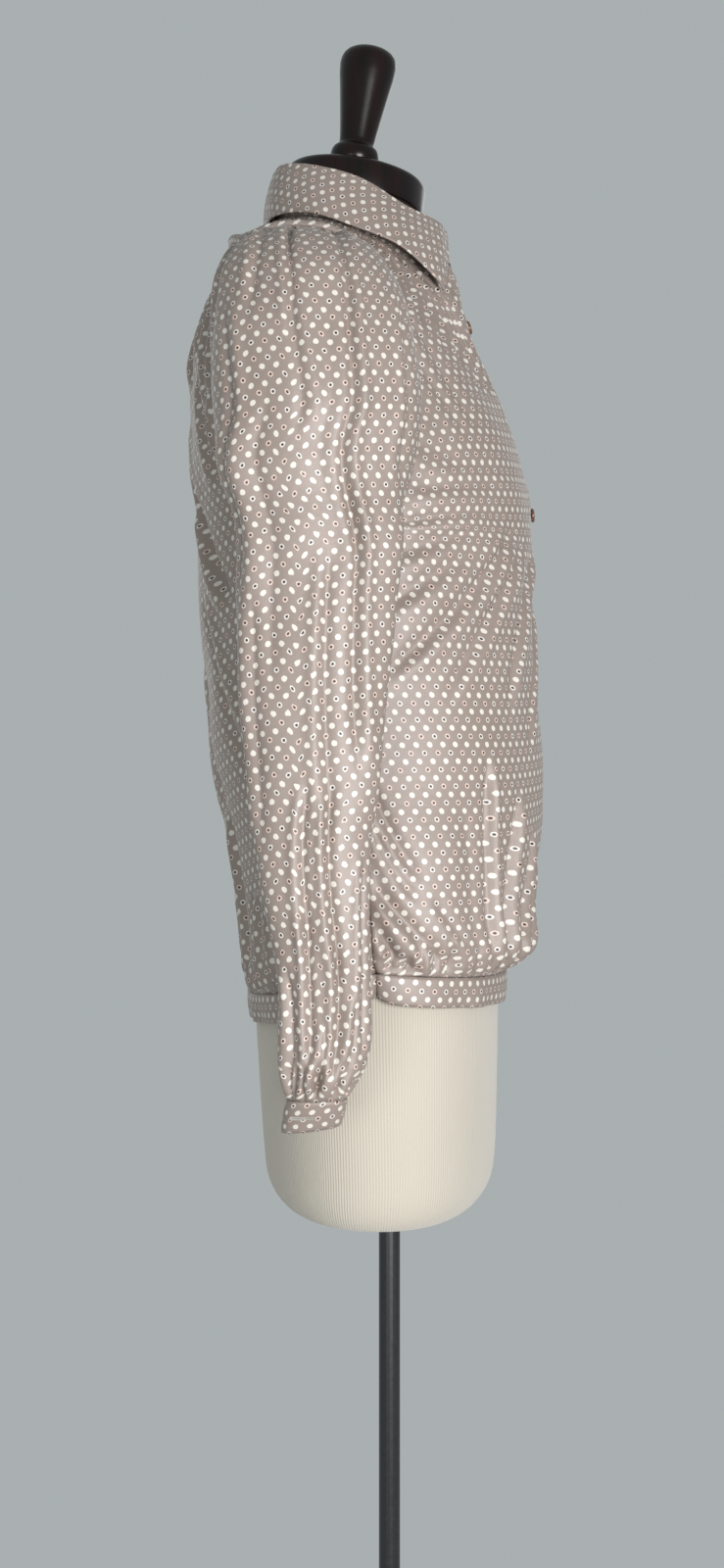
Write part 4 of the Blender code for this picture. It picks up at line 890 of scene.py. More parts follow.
def makeSleeve():
    tubeRows = len(sleeveTube)
    headRow = tubeRows + cloth["yokeRow"] - cloth["tubeTop"]
    rows = denseRows(sleeveOuterRow, 0, headRow, cloth["spacing"])
    outer = surfaceGrid(sleeveOuterRow, rows, 176)
    uv = clothMap(outer, 0.5)
    folds = sleeveShape["foldDepth"] * creaseHeights(uv, rows, sleeveFolds)
    folds += creaseHeights(uv, rows, gatherCreases(18, 0.3, 2.2, 0.0024, 0.0032, 0.03, 0.97, 0.9))
    folds *= edgeFade(uv, top=0.034)
    top = gatherCreases(17, 0.0, 0.5, 0.0018, 0.0020, 0.04, 0.96, 3.1)
    top = [(a, headRow - r1, b, headRow - r2, bow, w, d, 0.15) for a, r1, b, r2, bow, w, d, e in top]
    folds += creaseHeights(uv, rows, top + headCreases)
    folds += billow(uv, 0.09, 0.0008) * edgeFade(uv, top=0.02)
    folds *= edgeFade(uv, top=0.002, bottom=0.003)
    folds = np.minimum(folds, 0.0004 + 0.0060 * ease((edgeDistances(uv)["top"] - 0.030) / 0.050))
    upper = ease((rows - tubeRows + 0.6) / 0.6)[:, None]
    folds *= 1.0 - upper * (1.0 - edgeFade(uv, left=0.006, right=0.006))
    folds += edgePuff(uv, ("left", "right"), 0.0036, 0.008) * upper * edgeFade(uv, top=0.030)
    folds += edgePuff(uv, ("bottom",), 0.0050, 0.010) * (1.0 - ease((rows - 1.5) / 4.0))[:, None]
    folds += seamGroove(uv, ("top",)) + seamGroove(uv, ("bottom",), 0.0005)
    folds -= headSink(uv) * edgeFade(uv, left=0.005, right=0.010)
    outer = outer + gridNormals(outer) * folds[..., None]
    uv = clothMap(outer, 0.5)
    lowRows = rows[rows <= tubeRows + 1e-6]
    inner = surfaceGrid(sleeveInnerRow, lowRows, 40, even=False)
    innerUv = clothMap(inner, 0.0)
    innerUv[..., 0] += uv[: len(lowRows), -1:, 0]
    innerUv[..., 1] = uv[: len(lowRows), -1:, 1]
    inner[:, 0] = outer[: len(lowRows), -1]
    inner[:, -1] = outer[: len(lowRows), 0]
    return (outer, turned(uv, cloth["grainTurn"])), (inner, turned(innerUv, cloth["grainTurn"]))


sleeveGrids = makeSleeve()
sleeveRight = clothObject("sleeve_right_cloth", sleeveGrids, cloth["wall"])
leftGrids = [(mirrored(points), uv) for points, uv in sleeveGrids]
sleeveLeft = clothObject("sleeve_left_cloth", leftGrids, cloth["wall"], flip=True)
print("sleeves draped")

# Yoke
yoke = {
    "lift": 0.0016,
    "lip": [(0.0058, 0.0002), (0.0072, 0.0020), (0.0070, 0.0046),
            (0.0054, 0.0062), (0.0030, 0.0062), (0.0010, 0.0050)],
    "frontTurn": [(0.0034, 0.0022), (0.0032, 0.0008), (0.0018, 0.0)],
    "rows": 18,
    "crinkle": 0.0007,
}


def smoothAlong(vectors, times):
    for _ in range(times):
        inner = 0.25 * vectors[:-2] + 0.5 * vectors[1:-1] + 0.25 * vectors[2:]
        vectors = np.concatenate((vectors[:1], inner, vectors[-1:]))
    return vectors / np.maximum(np.linalg.norm(vectors, axis=1, keepdims=True), 1e-9)


def makeYoke():
    headRow = len(sleeveTube) + cloth["yokeRow"] - cloth["tubeTop"]
    backHead = evenRow(backRow, cloth["yokeRow"], 70)[::-1]
    outer = np.concatenate((evenRow(sleeveOuterRow, headRow, 84), backHead[1:]))
    below = np.concatenate((evenRow(sleeveOuterRow, headRow - 0.06, 84),
                            evenRow(backRow, cloth["yokeRow"] - 0.12, 70)[::-1][1:]))
    share = neckBack["headShare"]
    neckHalf = neckBackRow(np.linspace(share, 1.0, 70))
    neck = np.concatenate((neckBackRow(np.linspace(0.0, share, 84)), neckHalf[1:]))
    corner = mirrored(frontEdge(cloth["yokeRow"] + 1))
    bend = np.clip(1.0 - np.arange(len(outer)) / 30.0, 0.0, 1.0)[:, None]
    middle = (outer + neck) / 2
    middle = middle + (corner - middle[0]) * bend
    shares = np.linspace(0.0, 1.0, yoke["rows"])
    flat = np.array([outer * (1 - t) ** 2 + 2 * middle * t * (1 - t) + neck * t**2 for t in shares])
    down = smoothAlong(below - outer, 14)
    normals = gridNormals(flat)
    edgeNormal = smoothAlong(np.cross(down, np.gradient(outer, axis=0)), 14)
    edgeNormal = np.where(edgeNormal[:, 2:] < 0.0, -edgeNormal, edgeNormal)
    normals = np.where(np.sum(normals * edgeNormal[None], axis=2, keepdims=True) < 0.0, -normals, normals)
    k = np.arange(len(outer))
    wave = yoke["crinkle"] * np.sin(k * 1.35 + 2.0 * np.sin(k * 0.53))
    away = np.linalg.norm(flat - neck[None], axis=2)
    height = yoke["lift"] * ease(away / 0.004) + wave[None, :] * ease(away / 0.006) * 0.8
    body = flat + normals * height[..., None]
    edge = [outer + down * drop + edgeNormal * (rise + 0.5 * wave[:, None]) for drop, rise in yoke["lip"]]
    grid = np.concatenate((np.array(edge), body[1:]))
    ahead = grid[:, 0] - grid[:, 2]
    ahead = ahead / np.maximum(np.linalg.norm(ahead, axis=1, keepdims=True), 1e-9)
    tip = np.array((0.0, 0.0, 1.0))
    front = [grid[:, 0] + ahead * past - tip * drop for past, drop in yoke["frontTurn"]]
    grid = np.concatenate((np.transpose(np.array(front), (1, 0, 2)), grid), axis=1)
    uv = clothMap(grid, 0.0)[..., ::-1]
    grid[:, -1, 1] = 0.0
    return grid, uv


yokeGrid, yokeMap = makeYoke()
yokeOther = mirrored(yokeGrid)[:, -2::-1]
yokeOtherMap = (yokeMap * np.array((1.0, 1.0)))[:, -2::-1]
yokeCloth = clothObject("yoke_cloth", [(np.concatenate((yokeGrid, yokeOther), axis=1),
                                        np.concatenate((yokeMap, yokeOtherMap), axis=1))], cloth["wall"])
print("yoke sewn on")

# Collar
collar = {
    "rolled": [(0.0040, 0.0064), (0.0036, 0.0030), (0.0026, 0.0008),
               (0.0013, 0.0), (0.0, 0.0008), (-0.0002, 0.0026)],  # inside, drop
    "centreX": -0.0215,
    "wall": 0.0016,
    "frontGap": 0.0085,
    "standDrop": 0.0042,
    "columns": 76,
    "rows": 26,
    "bulge": 0.0024,
    "edgeRidge": 0.0005,
}
collarRoll = [  # angle round the neck from the front, x, y, z
    (0, 0.0455, 0.0000, 1.4475),
    (30, 0.0375, 0.0330, 1.4480),
    (60, 0.0120, 0.0570, 1.4535),
    (90, -0.0220, 0.0665, 1.4710),
    (120, -0.0560, 0.0595, 1.4825),
    (150, -0.0822, 0.0348, 1.4915),
    (180, -0.0918, 0.0000, 1.4950),
]
collarEdge = [
    (0, 0.0400, 0.0620, 1.3880),
    (30, 0.0330, 0.0690, 1.3960),
    (60, 0.0070, 0.0815, 1.4155),
    (90, -0.0250, 0.0835, 1.4285),
    (120, -0.0600, 0.0730, 1.4425),
    (150, -0.0880, 0.0430, 1.4490),
    (180, -0.0990, 0.0000, 1.4500),
]


def collarLine(table, angle):
    values = smoothRows(table, angle / (table[1][0] - table[0][0]))
    return np.array((values[1], -values[2], values[3]))


def outwardFrom(point):
    way = np.array((point[0] - collar["centreX"], point[1], 0.0))
    return way / np.linalg.norm(way)


def makeCollarFall():
    half = []
    up = np.array((0.0, 0.0, 1.0))
    for k in range(collar["columns"] + 1):
        share = k / collar["columns"]
        angle = 180.0 * share
        roll = collarLine(collarRoll, angle)
        edge = collarLine(collarEdge, angle)
        opening = float(1.0 - ease(angle / 13.0))
        roll = roll + np.array((-0.0006, -collar["frontGap"], 0.0)) * opening
        out = outwardFrom(roll)
        column = [roll - out * inside - up * drop for inside, drop in collar["rolled"]]
        start = column[-1]
        for row in range(1, collar["rows"] + 1):
            down = row / collar["rows"]
            bulge = collar["bulge"] * math.sin(math.pi * down) ** 0.8
            length = np.linalg.norm(edge - start)
            ridge = collar["edgeRidge"] * math.exp(-((1.0 - down) * length / 0.0022) ** 2)
            column.append(start + (edge - start) * down + out * (bulge + ridge))
        half.append(column[::-1])
    right = np.transpose(np.array(half), (1, 0, 2))
    grid = np.concatenate((right, mirrored(right[:, -2::-1])), axis=1)
    return grid, clothMap(grid, 0.5)


def neckSeam(share):
    if share < 0.5:
        return frontRow(cloth["neckRow"], np.array((share * 2.0,)))[0]
    return neckBackRow(np.array((share * 2.0 - 1.0,)))[0]


def makeCollarStand():
    half = []
    for k in range(collar["columns"] + 1):
        share = k / collar["columns"]
        low = neckSeam(share) + np.array((0.0, 0.0, 0.0002))
        high = collarLine(collarRoll, 180.0 * share)
        out = outwardFrom(high)
        high = high - out * 0.0024 - np.array((0.0, 0.0, collar["standDrop"]))
        half.append([low + (high - low) * t + out * 0.0008 * math.sin(math.pi * t)
                     for t in np.linspace(0.0, 1.0, 9)])
    right = np.transpose(np.array(half), (1, 0, 2))
    left = mirrored(right)
    rows = []
    for row in range(right.shape[0]):
        end = right[row, 0].copy()
        over = [end + np.array((-0.0016 * t, cloth["lap"] * t, 0.0)) for t in (1.0, 0.75, 0.5, 0.25)]
        under = [end + np.array((-cloth["lapDrop"] - 0.0014 * t, -cloth["lap"] * t, 0.0))
                 for t in (0.25, 0.5, 0.75, 1.0)]
        leftRow = left[row].copy()
        fade = 1.0 - ease(np.abs(leftRow[:, 1]) / 0.030)
        leftRow[:, 0] -= cloth["lapDrop"] * fade
        rows.append((np.vstack((over, right[row])), np.vstack((under[::-1], leftRow))))
    rightPart = np.array([row[0] for row in rows])
    leftPart = np.array([row[1] for row in rows])
    grid = np.concatenate((rightPart, leftPart[:, ::-1][:, 1:]), axis=1)
    return grid, clothMap(grid, 0.5)


fallGrid, fallMap = makeCollarFall()
collarFall = clothObject("collar_fall_cloth", [(fallGrid, fallMap)], collar["wall"])
standGrid, standMap = makeCollarStand()
collarStand = clothObject("collar_stand_cloth", [(standGrid, standMap)], 0.0012)
print("collar sewn on")

# Hem band
hemBand = {
    "bottomFront": (0.0895, 0.8520),
    "bottomSide": (-0.012, 0.1765, 0.8620),
    "bottomBack": (-0.1075, 0.8360),
    "notch": (0.0050, 0.0065),
    "wall": 0.0016,
    "rows": 9,
}


def makeBand(rowFunction, centre, columns, lap, reverse):
    shares = np.linspace(0.0, 1.0, columns)
    top = rowFunction(0, shares)
    bottom = sectionRow(centre, hemBand["bottomSide"], hemBand["bottomSide"][0], 2.3, shares, lap)
    fromSide = np.linalg.norm(bottom - bottom[-1], axis=1)
    drawn = np.exp(-((fromSide / hemBand["notch"][1]) ** 1.4))
    bottom = bottom + hemBand["notch"][0] * drawn[:, None] * np.array((0.0, 0.5, 1.0))
    steps = np.linspace(0.0, 1.0, hemBand["rows"])
    grid = np.array([bottom + (top - bottom) * t for t in steps])
    if reverse:
        grid = grid[:, ::-1]
    uv = clothMap(grid, 0.0)
    wave = 0.0014 * np.sin(uv[..., 0] * 95.0 + 1.2 * np.sin(uv[..., 0] * 41.0)) * (1.0 - steps)[:, None]
    puff = 0.0008 * np.sin(math.pi * steps)[:, None]
    grid = grid + gridNormals(grid) * (wave + puff)[..., None]
    return grid, uv


bandRightGrid, bandRightMap = makeBand(frontRow, hemBand["bottomFront"], 84, cloth["lap"], False)
bandBackHalf = makeBand(backRow, hemBand["bottomBack"], 76, 0.0, True)[0]
bandBackHalf[:, -1, 1] = 0.0
bandBackGrid = np.concatenate((bandBackHalf, mirrored(bandBackHalf)[:, -2::-1]), axis=1)
bandRight = clothObject("hem_band_right_cloth", [(bandRightGrid, bandRightMap)], hemBand["wall"])
bandLeftGrid = mirrored(lappedUnder(bandRightGrid))
bandLeft = clothObject("hem_band_left_cloth", [(bandLeftGrid, bandRightMap)], hemBand["wall"], flip=True)
bandBack = clothObject("hem_band_back_cloth", [(bandBackGrid, clothMap(bandBackGrid, 0.5))], hemBand["wall"])
print("hem band sewn on")

# Cuffs
cuff = {
    "shift": (-0.0040, 0.0120, -0.0215),
    "tilt": 0.12,
    "tail": 0.22,
    "tailDepth": 0.0078,
    "seam": 0.0004,
    "outerShare": 0.62,
    "wall": 0.0018,
    "columns": 120,
    "rows": 10,
}


def cuffCentre(drop):
    z, frontX, backX, outerY, innerY = sleeveTube[0]
    centre = np.array(((frontX + backX) / 2, -(outerY + innerY) / 2, z - cuff["seam"]))
    return centre + np.array(cuff["shift"]) * drop


def cuffPoint(share, drop):
    turn = share - 1.0 if share > 1.0 else share
    if turn <= cuff["outerShare"]:
        point = sleeveOuterRow(0, np.array((1.0 - turn / cuff["outerShare"],)))[0]
    else:
        rest = 1.0 - cuff["outerShare"]
        point = sleeveInnerRow(0, np.array((1.0 - (turn - cuff["outerShare"]) / rest,)))[0]
    centre = cuffCentre(drop)
    tilt = cuff["tilt"] * (point[0] - cuffCentre(0.0)[0]) * drop
    shiftX, shiftY = cuff["shift"][:2]
    point = np.array((point[0] + shiftX * drop, point[1] + shiftY * drop, centre[2] + tilt))
    inward = centre - point
    inward[2] = 0.0
    inward = inward / np.linalg.norm(inward)
    puff = -inward * 0.0006 * math.sin(math.pi * min(max(drop, 0.0), 1.0))
    return point + inward * cuff["tailDepth"] * float(ease((share - 0.84) / 0.14)) + puff


def makeCuff():
    shares = np.linspace(0.0, 1.0 + cuff["tail"], cuff["columns"])
    drops = np.linspace(1.0, 0.0, cuff["rows"])
    grid = np.array([[cuffPoint(share, drop) for share in shares] for drop in drops])
    return grid, clothMap(grid, 0.0)


cuffGrid, cuffMap = makeCuff()
cuffRight = clothObject("cuff_right_cloth", [(cuffGrid, cuffMap)], cuff["wall"], flip=True)
cuffLeft = clothObject("cuff_left_cloth", [(mirrored(cuffGrid), cuffMap)], cuff["wall"])
print("cuffs sewn on")

# Buttonhole
buttonhole = {
    "slit": 0.0002,
    "share": (0.220, 0.314),
    "drop": 0.50,
    "halfHeight": 0.0014,
    "stitches": 26,
    "threadRadius": 0.00024,
}


def threadBar(mesh, start, end, radius):
    way = Vector(end) - Vector(start)
    bar = bmesh.ops.create_uvsphere(mesh, u_segments=6, v_segments=5, radius=1.0)
    size = Matrix.Diagonal((radius, radius, way.length / 2 + radius, 1.0))
    turn = way.to_track_quat("Z", "Y").to_matrix().to_4x4()
    move = Matrix.Translation((Vector(start) + Vector(end)) / 2) @ turn
    bmesh.ops.transform(mesh, matrix=move @ size, verts=bar["verts"])


def makeButtonhole(name, flip):
    mesh = bmesh.new()
    low, high = buttonhole["share"]
    half = buttonhole["halfHeight"]

    def onCuff(share, drop, lift):
        place = Vector(cuffPoint(share, drop))
        along = Vector(cuffPoint(share + 0.01, drop)) - Vector(cuffPoint(share - 0.01, drop))
        down = Vector(cuffPoint(share, drop + 0.1)) - Vector(cuffPoint(share, drop - 0.1))
        outward = along.cross(down).normalized()
        if outward.dot(Vector(cuffCentre(drop)) - place) > 0.0:
            outward = -outward
        return place + outward * lift, down.normalized()

    for k in range(buttonhole["stitches"]):
        share = low + (high - low) * k / (buttonhole["stitches"] - 1)
        middle, down = onCuff(share, buttonhole["drop"], 0.0006)
        for side in (-1.0, 1.0):
            start = middle + down * side * buttonhole["slit"]
            threadBar(mesh, start, middle + down * side * half, buttonhole["threadRadius"])
    for share in buttonhole["share"]:
        for step in (-0.004, 0.0, 0.004):
            middle, down = onCuff(share + step, buttonhole["drop"], 0.0008)
            threadBar(mesh, middle - down * half, middle + down * half, buttonhole["threadRadius"])
    if flip:
        bmesh.ops.transform(mesh, matrix=Matrix.Diagonal((1.0, -1.0, 1.0, 1.0)), verts=mesh.verts)
        bmesh.ops.reverse_faces(mesh, faces=mesh.faces)
    data = bpy.data.meshes.new(name)
    mesh.to_mesh(data)
    mesh.free()
    data.shade_smooth()
    piece = bpy.data.objects.new(name, data)
    bpy.context.scene.collection.objects.link(piece)
    piece.data.materials.append(whiteThread)
    return piece


buttonholes = [makeButtonhole("buttonhole_right", False), makeButtonhole("buttonhole_left", True)]

# Dress form
formRings = [  # frontX, frontZ, sideX, sideY, sideZ, backX, backZ, square, backSquare
    (0.0500, 0.6950, -0.010, 0.1350, 0.6950, -0.0700, 0.6950, 2.2, 2.2),
    (0.0660, 0.6990, -0.010, 0.1500, 0.6990, -0.0840, 0.6990, 2.2, 2.2),
    (0.0780, 0.7140, -0.010, 0.1605, 0.7140, -0.0945, 0.7140, 2.2, 2.2),
    (0.0820, 0.7400, -0.010, 0.1645, 0.7400, -0.0980, 0.7400, 2.2, 2.2),
    (0.0834, 0.8000, -0.011, 0.1670, 0.8000, -0.1020, 0.8000, 2.25, 2.25),
    (0.0838, 0.8500, -0.012, 0.1680, 0.8500, -0.1045, 0.8500, 2.3, 2.3),
    (0.0830, 0.8900, -0.014, 0.1640, 0.8900, -0.1035, 0.8900, 2.3, 2.3),
    (0.0790, 0.9600, -0.018, 0.1500, 0.9600, -0.0980, 0.9600, 2.3, 2.3),
    (0.0780, 1.0200, -0.022, 0.1360, 1.0200, -0.0950, 1.0200, 2.3, 2.3),
    (0.0840, 1.0800, -0.026, 0.1370, 1.0800, -0.1050, 1.0800, 2.3, 2.3),
    (0.0960, 1.1400, -0.030, 0.1460, 1.1400, -0.1250, 1.1400, 2.2, 2.3),
    (0.1030, 1.2000, -0.033, 0.1530, 1.2000, -0.1370, 1.2000, 2.0, 2.2),
    (0.0930, 1.2600, -0.038, 0.1550, 1.2600, -0.1420, 1.2600, 1.8, 2.1),
    (0.0760, 1.3050, -0.046, 0.1570, 1.3100, -0.1430, 1.3100, 1.6, 2.0),
    (0.0600, 1.3450, -0.056, 0.1570, 1.3560, -0.1380, 1.3560, 1.35, 1.8),
    (0.0520, 1.3720, -0.062, 0.1480, 1.3860, -0.1270, 1.3860, 1.25, 1.7),
    (0.0460, 1.3920, -0.064, 0.1230, 1.4060, -0.1130, 1.4100, 1.2, 1.6),
    (0.0410, 1.4060, -0.058, 0.0880, 1.4180, -0.0980, 1.4270, 1.25, 1.6),
    (0.0380, 1.4180, -0.040, 0.0650, 1.4260, -0.0850, 1.4400, 1.5, 1.9),
    (0.0360, 1.4300, -0.030, 0.0575, 1.4440, -0.0820, 1.4560, 1.9, 2.0),
]
stand = {
    "capCentre": (-0.0292, 0.0, 1.4680),
    "capTilt": math.radians(8.5),
    "neckRadius": 0.0500,
    "fit": 0.0003,
    "ringColumns": 120,
    "ringSteps": 5,
    "turnedSteps": 72,
    "finialShift": -0.0040,
}
capProfile = [  # radius, height
    (0.0000, 0.0262), (0.0300, 0.0262), (0.0440, 0.0258), (0.0490, 0.0250),
    (0.0525, 0.0236), (0.0545, 0.0216), (0.0552, 0.0190), (0.0552, 0.0040),
    (0.0548, 0.0016), (0.0536, 0.0003), (0.0520, 0.0000), (0.0000, 0.0000),
]
finialProfile = [
    (0.0000, 0.0985), (0.0060, 0.0984), (0.0110, 0.0979), (0.0150, 0.0968), (0.0182, 0.0948),
    (0.0205, 0.0920), (0.0218, 0.0885), (0.0222, 0.0840), (0.0214, 0.0760), (0.0200, 0.0680),
    (0.0180, 0.0550), (0.0160, 0.0420), (0.0146, 0.0320), (0.0139, 0.0260), (0.0137, 0.0235),
    (0.0141, 0.0216), (0.0156, 0.0204), (0.0174, 0.0190), (0.0187, 0.0165), (0.0193, 0.0130),
    (0.0189, 0.0095), (0.0178, 0.0066), (0.0166, 0.0050), (0.0164, 0.0030), (0.0165, 0.0000),
    (0.0000, 0.0000),
]
baseProfile = [
    (0.0000, 0.0420), (0.0140, 0.0420), (0.0168, 0.0412), (0.0180, 0.0390), (0.0186, 0.0330),
    (0.0194, 0.0262), (0.0216, 0.0216), (0.0262, 0.0190), (0.0500, 0.0170), (0.0900, 0.0150),
    (0.1300, 0.0130), (0.1540, 0.0116), (0.1600, 0.0105), (0.1636, 0.0084), (0.1650, 0.0052),
    (0.1650, 0.0004), (0.1646, 0.0000), (0.0000, 0.0000),
]


def capMatrix():
    return Matrix.Translation(stand["capCentre"]) @ Matrix.Rotation(stand["capTilt"], 4, "Y")


def makeForm():
    angles = np.linspace(0.0, 2 * math.pi, stand["ringColumns"] + 1)
    along, across = np.cos(angles), np.sin(angles)
    rings = []
    steps = stand["ringSteps"]
    for k in range((len(formRings) - 1) * steps + 1):
        ring = smoothRows(formRings, k / steps)
        frontX, frontZ, sideX, sideY, sideZ, backX, backZ, square, backSquare = ring
        endX = np.where(along >= 0, frontX, backX)
        endZ = np.where(along >= 0, frontZ, backZ)
        power = 2.0 / np.where(along >= 0, square, backSquare)
        x = sideX + (endX - sideX) * np.abs(along) ** power
        y = sideY * np.sign(across) * np.abs(across) ** power
        rings.append(np.stack((x, y, sideZ + (endZ - sideZ) * along**2), axis=-1))
    matrix = np.array(capMatrix())
    flat = np.stack((stand["neckRadius"] * along, stand["neckRadius"] * across,
                     np.full_like(along, -stand["fit"]), np.ones_like(along)), axis=-1)
    top = (flat @ matrix.T)[:, :3]
    for share in (0.33, 0.66, 1.0):
        rings.append(rings[(len(formRings) - 1) * steps] * (1 - share) + top * share)
    low = rings[0]
    centre = low.mean(axis=0)
    disc = [centre + (low - centre) * share for share in (0.001, 0.35, 0.7)]
    cap = top.mean(axis=0)
    lid = [cap + (top - cap) * share for share in (0.6, 0.001)]
    grid = np.array(disc + rings + lid)
    grid[:, -1] = grid[:, 0]
    uv = clothMap(grid, 0.0)
    around = uv[:, -1:, 0]
    uv[..., 0] = uv[..., 0] / np.maximum(around, 1e-6) * 0.82
    return grid, uv


formGrid, formMap = makeForm()
formCloth = clothObject("form_jersey", [(formGrid, formMap)], 0.0, flip=True)


def turnedPiece(name, profile, steps, matrix):
    # a lathe shape: the profile is spun round the upright axis
    bpy.ops.mesh.primitive_circle_add(vertices=len(profile), radius=0.01)
    piece = bpy.context.active_object
    piece.name = name
    mesh = bmesh.new()
    line = [mesh.verts.new((radius, 0.0, height)) for radius, height in profile]
    for a, b in zip(line, line[1:]):
        mesh.edges.new((a, b))
    mesh.to_mesh(piece.data)
    mesh.free()
    spin = piece.modifiers.new("spin", "SCREW")
    spin.steps = steps
    spin.render_steps = steps
    spin.use_merge_vertices = True
    spin.merge_threshold = 0.00001
    spin.use_smooth_shade = True
    bpy.ops.object.modifier_apply(modifier="spin")
    piece.data.transform(matrix)
    bpy.ops.object.shade_smooth_by_angle(angle=math.radians(40))
    piece.select_set(False)
    return piece


lift = capProfile[0][1] + stand["fit"]
neckCap = turnedPiece("neck_cap_turned", capProfile, stand["turnedSteps"], capMatrix())
finial = turnedPiece("finial_turned", finialProfile, stand["turnedSteps"],
                     capMatrix() @ Matrix.Translation((stand["finialShift"], 0.0, lift)))
base = turnedPiece("base_turned", baseProfile, 96, Matrix.Identity(4))
print("dress form and stand made")

# Buttons
button = {
    "radius": 0.0057,
    "thickness": 0.0026,
    "heights": [1.373, 1.2995, 1.226, 1.1525, 1.079, 1.0058, 0.932],
    "lift": 0.0009,
    "holeSpread": 0.00115,
    "threadRadius": 0.00022,
    "threadGap": 0.00036,
    "threadLift": 0.0002,
}


def makeButton(name, matrix):
    radius, thick = button["radius"], button["thickness"]
    profile = [(0.0, thick * 0.55), (radius * 0.55, thick * 0.55), (radius * 0.64, thick * 0.62),
               (radius * 0.72, thick * 0.92), (radius * 0.80, thick), (radius * 0.90, thick * 0.95),
               (radius * 0.98, thick * 0.72), (radius, thick * 0.45), (radius * 0.92, thick * 0.1),
               (radius * 0.80, 0.0), (0.0, 0.0)]
    disc = turnedPiece(name, profile, 40, matrix)
    disc.data.materials.append(buttonFinish)
    return disc


def makeButtonThread(name, matrix):
    # two crossed bars of thread over the button's middle
    mesh = bmesh.new()
    length = button["holeSpread"] * 2.9
    thread = button["threadRadius"]
    lift = button["thickness"] * 0.55 + button["threadLift"]
    for turn in (math.pi / 4, -math.pi / 4):
        for k in (-1, 0, 1):
            bar = bmesh.ops.create_cone(mesh, cap_ends=True, segments=8, radius1=thread, radius2=thread,
                                        depth=length)
            move = (Matrix.Translation((0, 0, lift)) @ Matrix.Rotation(turn, 4, "Z")
                    @ Matrix.Translation((0, k * button["threadGap"], 0))
                    @ Matrix.Rotation(math.pi / 2, 4, "Y"))
            bmesh.ops.transform(mesh, matrix=matrix @ move, verts=bar["verts"])
    data = bpy.data.meshes.new(name)
    mesh.to_mesh(data)
    mesh.free()
    data.shade_smooth()
    piece = bpy.data.objects.new(name, data)
    bpy.context.scene.collection.objects.link(piece)
    piece.data.materials.append(whiteThread)
    return piece


def surfaceMatrix(place, outward):
    return Matrix.Translation(place) @ outward.to_track_quat("Z", "Y").to_matrix().to_4x4()


buttonPieces = []
threadPieces = []
middleColumn = int(np.argmin(np.abs(rightFront[:, :, 1]).sum(axis=0)))
middleLine = rightFront[:, middleColumn]
for k, height in enumerate(button["heights"]):
    at = int(np.argmin(np.abs(middleLine[:, 2] - height)))
    place = Vector((middleLine[at, 0], 0.0, height))
    along = middleLine[min(at + 3, len(middleLine) - 1)] - middleLine[at - 3]
    outward = Vector((along[2], 0.0, -along[0])).normalized()
    matrix = surfaceMatrix(place + outward * button["lift"], outward)
    buttonPieces.append((makeButton("button_%d_disc" % (k + 1), matrix), "button_front_%d" % (k + 1)))
    threadPieces.append(makeButtonThread("button_%d_thread" % (k + 1), matrix))
for side, sign in (("right", 1.0), ("left", -1.0)):
    share = 1.0 + cuff["tail"] * 0.6
    place = cuffPoint(share, 0.5)
    along = cuffPoint(share + 0.02, 0.5) - cuffPoint(share - 0.02, 0.5)
    down = cuffPoint(share, 1.0) - cuffPoint(share, 0.0)
    outward = Vector(np.cross(along, down)).normalized()
    inward = Vector(cuffCentre(0.5) - place)
    if outward.dot(inward) > 0.0:
        outward = -outward
    place = Vector(place) + outward * 0.0004
    place.y *= sign
    outward.y *= sign
    matrix = surfaceMatrix(place, outward)
    buttonPieces.append((makeButton("button_cuff_%s_disc" % side, matrix), "button_cuff_%s" % side))
    threadPieces.append(makeButtonThread("button_cuff_%s_thread" % side, matrix))
print("buttons sewn on", len(buttonPieces))

# What each piece stands for
clothPieces = [
    (frontRight, "front_right", (0.34, 0.66), 0.165),
    (frontLeft, "front_left", (0.34, 0.66), 0.165),
    (backCloth, "back", (0.56, 0.62), 0.280),
    (yokeCloth, "yoke", (0.30, 0.11), 0.015),
    (collarFall, "collar_fall", (0.42, 0.09), 0.026),
    (collarStand, "collar_stand", (0.40, 0.035), 0.0135),
    (sleeveRight, "sleeve_right", (0.42, 0.60), 0.205),
    (sleeveLeft, "sleeve_left", (0.42, 0.60), 0.205),
    (cuffRight, "cuff_right", (0.19, 0.024), 0.0044),
    (cuffLeft, "cuff_left", (0.19, 0.024), 0.0044),
    (bandRight, "hem_band_right", (0.25, 0.024), 0.0058),
    (bandLeft, "hem_band_left", (0.25, 0.024), 0.0058),
    (bandBack, "hem_band_back", (0.45, 0.024), 0.0105),
]
for piece, node, flat, area in clothPieces:
    piece.data.materials.append(satinCollar if node.startswith("collar") else satinCloth)
    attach(piece, "root")
    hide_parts(*((node, node + "_under") if node.startswith("sleeve") else (node,)))
formCloth.data.materials.append(jerseyCloth)
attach(formCloth, "root")
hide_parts("form_body")
for piece, node in ((neckCap, "neck_cap"), (finial, "finial")):
    piece.data.materials.append(mahogany)
    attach(piece, "root")
    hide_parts(node)
base.data.materials.append(blackPaint)
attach(base, "root")
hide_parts("stand_base")
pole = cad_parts["pole"]
for slot in pole.material_slots:
    slot.material = blackPaint
for (piece, node), thread in zip(buttonPieces, threadPieces):
    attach(piece, "root")
    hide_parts(node)
    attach(thread, "root")
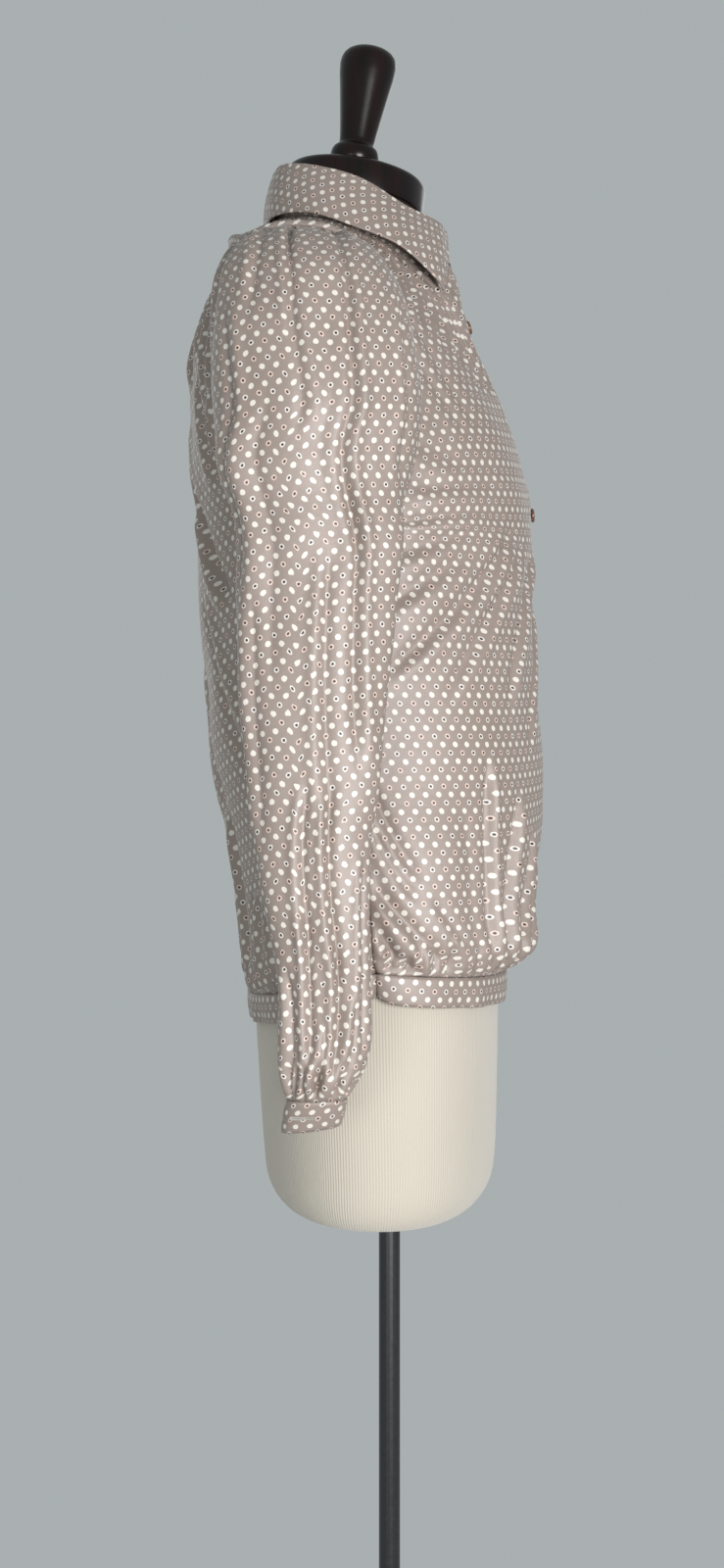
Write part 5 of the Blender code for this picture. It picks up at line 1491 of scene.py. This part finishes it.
for piece in buttonholes:
    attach(piece, "root")

# Floor, light and air
studio = {
    "floorRadius": 0.62,
    "wallColour": (0.400, 0.432, 0.436, 1.0),
    "airStrength": 1.0,
    "lights": [  # place, size, power, colour
        ((0.78, -1.95, 0.92), 0.85, 51.0, (1.0, 0.982, 0.988)),
        ((-0.75, -1.90, 0.75), 0.9, 9.0, (1.0, 0.99, 0.98)),
        ((0.60, 2.00, 1.80), 1.3, 5.0, (0.98, 0.99, 1.0)),
        ((-1.10, 1.60, 1.50), 1.3, 4.0, (1.0, 1.0, 1.0)),
    ],
}
bpy.ops.mesh.primitive_cylinder_add(vertices=96, radius=studio["floorRadius"], depth=0.02,
                                    location=(0, 0, -0.0105))
floor = bpy.context.active_object
floor.name = "floor"
floorFinish, floorTree, floorShader = newMaterial("pale_floor")
floorPlace = floorTree.nodes.new("ShaderNodeTexCoord").outputs["Object"]
floorClouds = noiseNode(floorTree, floorPlace, 6.0, 4.0)
floorColour = mixColour(floorTree, floorClouds, (0.60, 0.61, 0.61, 1.0), (0.66, 0.67, 0.67, 1.0))
link(floorTree, floorColour, floorShader.inputs["Base Color"])
floorShader.inputs["Roughness"].default_value = 0.7
floor.data.materials.append(floorFinish)
for k, (place, size, power, colour) in enumerate(studio["lights"]):
    lampName = "soft_light_%d" % (k + 1)
    lamp = bpy.data.objects.new(lampName, bpy.data.lights.new(lampName, "AREA"))
    lamp.data.shape = "SQUARE"
    lamp.data.size = size
    lamp.data.energy = power
    lamp.data.color = colour
    lamp.location = place
    aim = Vector((0.0, 0.0, 1.1)) - Vector(place)
    lamp.rotation_euler = aim.to_track_quat("-Z", "Y").to_euler()
    bpy.context.scene.collection.objects.link(lamp)
air = bpy.data.worlds.new("studio_air")
air.use_nodes = True
air.node_tree.nodes["Background"].inputs["Color"].default_value = studio["wallColour"]
air.node_tree.nodes["Background"].inputs["Strength"].default_value = studio["airStrength"]
bpy.context.scene.world = air
bpy.context.scene.view_settings.view_transform = "Standard"
